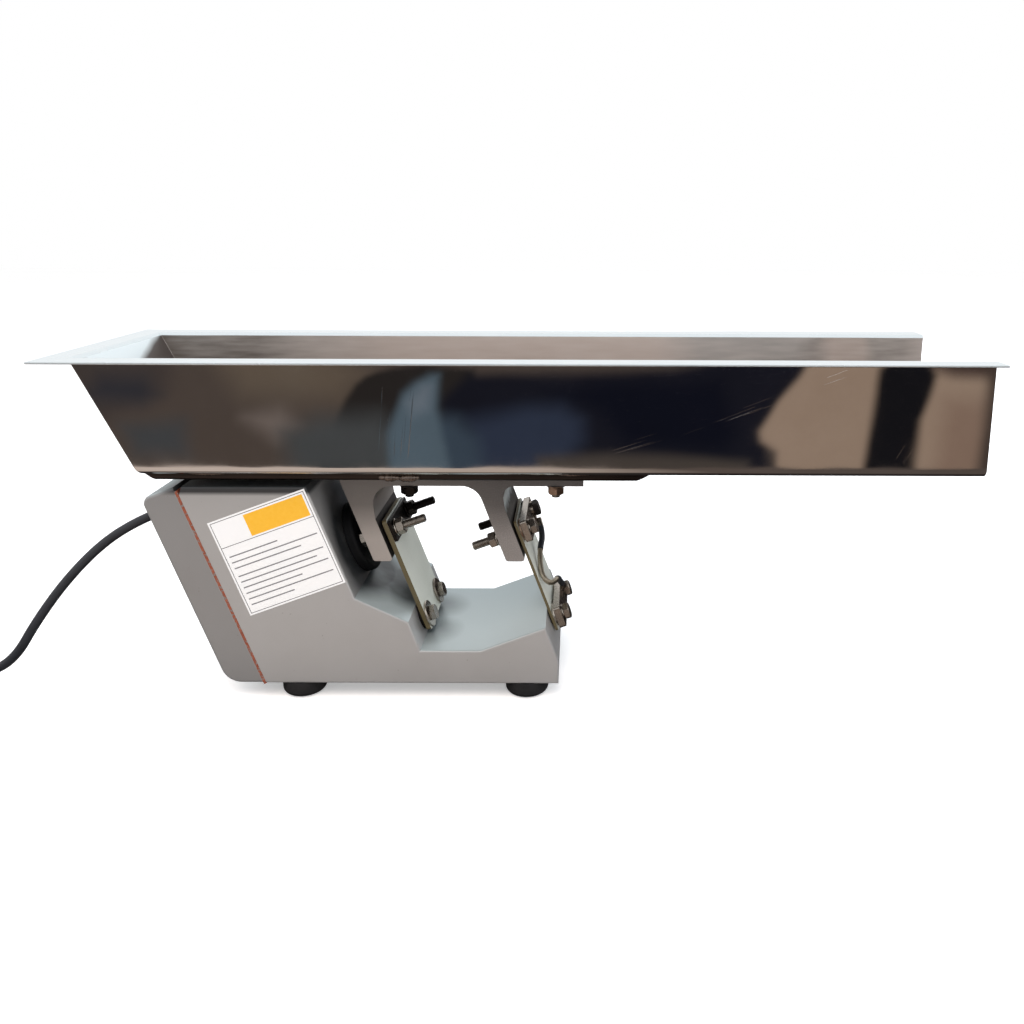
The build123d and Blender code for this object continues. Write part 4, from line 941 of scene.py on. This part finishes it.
normal, tangent = add(tree, "GeometryNodeInputNormal"), add(tree, "GeometryNodeInputTangent")
side = add(tree, "ShaderNodeVectorMath", {0: tangent, 1: normal}, operation="CROSS_PRODUCT")
parts = []
for way, kind in ((normal, "COSINE"), (side, "SINE")):
    reach = maths("MULTIPLY", maths(kind, angle), given["Lay"])
    parts.append(add(tree, "ShaderNodeVectorMath", {0: way, "Scale": reach}, operation="SCALE"))
offset = add(tree, "ShaderNodeVectorMath", dict(enumerate(parts)), operation="ADD")
twisted = add(tree, "GeometryNodeSetPosition", {"Geometry": many, "Offset": offset})
wire = add(tree, "GeometryNodeCurvePrimitiveCircle", {"Resolution": 12, "Radius": given["Wire"]})
drawn = {"Curve": twisted, "Profile Curve": wire.outputs[0], "Fill Caps": True}
end_tree(tree, given, add(tree, "GeometryNodeCurveToMesh", drawn))

# The bare strands, then the sleeve at each end.
work, lead_finishes = bmesh.new(), [tinned_copper, rubber_jacket]
sleeve = {"Strands": 1, "Lay": 0.0, "Wire": 0.0028}
for sizes, finish in (({"Strands": 9}, 0), ({**sleeve, "To": 0.24}, 1), ({**sleeve, "From": 0.72}, 1)):
    mesh = grown(placed("earth_line", earth_line), lead_tree, {"Finish": lead_finishes[finish], **sizes})
    before = len(work.faces)
    work.from_mesh(mesh)
    work.faces.ensure_lookup_table()
    for face in work.faces[before:]:
        face.material_index, face.smooth = finish, True
mesh.clear_geometry()
mesh.materials.clear()
for finish in lead_finishes:
    mesh.materials.append(finish)
work.to_mesh(mesh)
work.free()
earth_lead = placed("earth_lead_piece", mesh)
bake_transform(earth_lead)
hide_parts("earth_lead")

# ---- Trough and its pan -------------------------------------------------------------------------
# Stainless sheet, folded and welded at the rear corners: polished outside, brushed inside, bright on its rim.
polished_steel, place = begin("stainless steel sheet, mirror-polished")
smear = noise_at(place, 16, 6, 0.65)
tone = mix(smear, "#d5cfca", "#e9e7e5")
# Long shallow scratches on the walls, drawn a little coarser than they are so that they show.
marks = None
for x, z, turn, half_long, half_tall, thin in (
    (196, 267, 21.5, 0.075, 0.0045, 1500), (110, 239, 18, 0.04, 0.006, 1300),
    (311, 226, 62, 0.008, 0.006, 1200), (-100, 250, 84, 0.03, 0.02, 700),
):
    laid = {"Vector": place, "Location": (x / 1000, 0, z / 1000), "Rotation": (0, -radians(turn), 0)}
    rule = add(place.id_data, "ShaderNodeMapping", laid, vector_type="TEXTURE")
    axes = split(rule)
    grain = add(place.id_data, "ShaderNodeMapping", {"Vector": rule, "Scale": (9, 1, thin)})
    drawn = ramp(noise_at(grain, 1.0, 1), 0.64, 0.74, 0, 0.7)
    long_part = ramp(maths("ABSOLUTE", axes[0]), half_long, 0.7 * half_long)
    tall_part = ramp(maths("ABSOLUTE", axes[2]), half_tall, 0.5 * half_tall)
    mark = maths("MULTIPLY", drawn, maths("MULTIPLY", long_part, tall_part))
    marks = maths("MAXIMUM", marks, mark) if marks else mark
rough = maths("MULTIPLY_ADD", marks, 0.4, ramp(smear, 0.35, 0.7, 0.02, 0.055))
sunk = maths("MULTIPLY_ADD", marks, -0.15, noise_at(place, 13, 1))
surface(polished_steel, mix(marks, tone, "#a39d98"), rough, 1.0, sunk, 0.3, 0.0007)


def streaks_at(place, scale):
    """Noise drawn out along the trough."""
    drawn = add(place.id_data, "ShaderNodeMapping", {"Vector": place, "Scale": scale})
    return noise_at(drawn, 4.0, 4)


def sheet_steel(name, tones, rough, scale):
    """Unpolished stainless sheet, faintly drawn along the trough."""
    sheet, place = begin(name)
    streak = streaks_at(place, (scale, 8 * scale, 8 * scale))
    cloud = maths("MULTIPLY", noise_at(place, 14, 3), 0.6)
    both = maths("MULTIPLY_ADD", streak, 0.4, cloud)
    surface(sheet, mix(both, *tones), ramp(both, 0.3, 0.7, *rough), 1.0)
    return sheet


rim_steel = sheet_steel("stainless steel sheet, bright-rolled", ("#d9e5ea", "#f2f7f9"), (0.18, 0.34), 2)
# The pan's sheet is painted near-black: painted shade in the gap under the trough.
pan_steel = sheet_steel("stainless steel sheet, painted dark as shade", ("#1d1a1b", "#4c433e"), (0.22, 0.4), 6)

# Inside, the sheet is worn to a satin by what slides on it. Its walls carry bands of painted reflection,
# unevenly from the rear to the open end.
inside_steel, place = begin("stainless steel sheet, brushed, painted reflection bands")
x, _, z = split(place)
wander = maths("SUBTRACT", noise_at(place, 18, 3), 0.5)
along = maths("MULTIPLY_ADD", wander, 0.05, ramp(x, -0.38, 0.38))
# Painted reflection: lighter and darker bands along the walls stand for what they mirror.
worn = add(place.id_data, "ShaderNodeValToRGB", {0: along})
bands = ((0.0, "#827c77"), (0.15, "#8b8580"), (0.20, "#b3aca7"), (0.32, "#c9beb7"), (0.66, "#cdc2bb"),
         (0.72, "#b6b2af"), (0.84, "#aeaba8"), (0.865, "#99938f"), (0.885, "#c0b3ab"), (0.925, "#bdb0a8"),
         (0.94, "#9a948f"), (0.975, "#a09994"), (1.0, "#b9b0ab"))
while len(worn.color_ramp.elements) < len(bands):
    worn.color_ramp.elements.new(0.5)
for stop, (at, code) in zip(worn.color_ramp.elements, bands):
    stop.position, stop.color = at, linear(code)
sheet = mix(ramp(z, 0.212, 0.240), "#bfb6b0", worn)
streak = streaks_at(place, (8, 60, 60))
tone = mix(ramp(streak, 0.3, 0.7, 0.0, 0.35), sheet, "#dcd5d0")
surface(inside_steel, tone, ramp(streak, 0, 1, 0.34, 0.5), 0.7)

# The rear slope is bright at its rim, and painted dark down in its corners as a painted reflection of the
# dark far wall.
slope_steel, place = begin("stainless steel sheet, painted corner reflection")
_, y, z = split(place)
depth = maths("MULTIPLY", maths("SUBTRACT", 0.302, z), 3.1)
corner = maths("SUBTRACT", 0.075, maths("ABSOLUTE", y))
wander = noise_at(place, 40, 3)
reach = maths("ADD", maths("SUBTRACT", depth, corner), maths("MULTIPLY", wander, 0.008))
# Painted reflection: dark where the slope meets the far wall.
tone = mix(ramp(reach, -0.008, 0.014), "#dfe9ec", "#625c59")
surface(slope_steel, tone, ramp(wander, 0, 1, 0.3, 0.45), 0.5)


# Where each finish and fold of the trough starts and ends, in metres.
rim_foot, wall_top, fold_foot, floor_top = 0.2983, 0.2999, 0.3015, 0.2065
slope_front, slope_foot, open_end, half_inside, half_folds = -0.30, 0.215, 0.3805, 0.0765, 0.0775


def trough_finish(p, n):
    """0 outside, 1 inside the channel, 2 on the rim and its bends, 3 on the rear slope inside."""
    if p.z > rim_foot and n.z > -0.5:
        return 2
    if p.x < slope_front and n.x > 0.3 and n.z > 0.3 and p.z > slope_foot:
        return 3
    inward = n.y * (-1 if p.y > 0 else 1) > 0.3 or n.x > 0.3 or n.z > 0.3
    return int(abs(p.y) < half_inside and floor_top < p.z < wall_top and inward)


def rim_bends(work):
    """Rounds the folds where the walls turn out into the rim."""
    folds = [line for line in work.edges
             if all(v.co.z > fold_foot and abs(v.co.y) < half_folds and v.co.x < open_end for v in line.verts)
             and len(line.link_faces) == 2 and line.calc_face_angle(0) > radians(20)]
    bmesh.ops.bevel(work, geom=folds, offset=0.003, segments=4, profile=0.5, affect="EDGES",
                    clamp_overlap=True)


trough_steels = [polished_steel, inside_steel, rim_steel, slope_steel]
dressed("trough", trough_steels, "tray", 0.0005, trough_finish, rim_bends)
dressed("mounting_pan", [pan_steel], "tray", 0.0006)

# Weld beads fix the pan under the trough: short runs of overlapping ripples, blued and brown with heat.
weld = mottled("stainless weld, heat-tinted", ("#2c2523", "#9b8c83"), (220, 4), 0.3, 1.0)


def weld_run(start, end, out, size, seed):
    """The points and faces of one bead between two points, bulging along out."""
    start, end, out = Vector(start), Vector(end), Vector(out).normalized()
    along = (end - start).normalized()
    side = along.cross(out)
    rows, around = max(8, int((end - start).length / 0.0007)), 12
    points, faces = [start], []
    for row in range(rows + 1):
        share = row / rows
        swell = size * (sin(pi * min(max(share, 0.04), 0.96)) ** 0.35) * (
            0.82 + 0.22 * abs(sin(row * 0.9)) + 0.35 * noise.noise((row * 0.21, seed, 0.3)))
        for k in range(around):
            angle = 2 * pi * k / around
            points.append(start.lerp(end, share) + (side * cos(angle) + out * sin(angle)) * swell)
    points.append(end)
    for k in range(around):
        after = (k + 1) % around
        faces.append((0, 1 + after, 1 + k))
        for row in range(rows):
            a = 1 + row * around
            faces.append((a + k, a + after, a + around + after, a + around + k))
        last = 1 + rows * around
        faces.append((len(points) - 1, last + k, last + after))
    return points, faces


beads, bead_faces = [], []
for k, (start, end, out, size) in enumerate([
    ((-0.118, -0.0668, 0.2010), (-0.100, -0.0668, 0.2004), (0, -1, 0.1), 0.0034),
    ((-0.101, -0.0668, 0.2002), (-0.084, -0.0668, 0.2008), (0, -1, 0.1), 0.0038),
    ((-0.118, 0.0668, 0.2035), (-0.084, 0.0668, 0.2030), (0, 1, -0.3), 0.0028),
    ((-0.3090, -0.060, 0.2042), (-0.3090, 0.060, 0.2042), (-1, 0, -0.3), 0.0022),
    ((0.1060, -0.050, 0.2040), (0.1060, 0.050, 0.2040), (1, 0, -0.3), 0.0022),
    ((-0.2750, -0.0668, 0.2040), (-0.2450, -0.0668, 0.2040), (0, -1, -0.2), 0.0018),
    ((0.0300, -0.0668, 0.2040), (0.0560, -0.0668, 0.2040), (0, -1, -0.2), 0.0018),
    ((0.0300, 0.0668, 0.2040), (0.0560, 0.0668, 0.2040), (0, 1, -0.2), 0.0018),
]):
    points, faces = weld_run(start, end, out, size, k * 3.7)
    bead_faces += [tuple(len(beads) + i for i in face) for face in faces]
    beads += points
bead = mesh_piece("pan_welds", beads, bead_faces, weld)
work = bmesh.new()
work.from_mesh(bead.data)
bmesh.ops.recalc_face_normals(work, faces=work.faces)
for face in work.faces:
    face.smooth = True
work.to_mesh(bead.data)
work.free()
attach(bead, "tray")
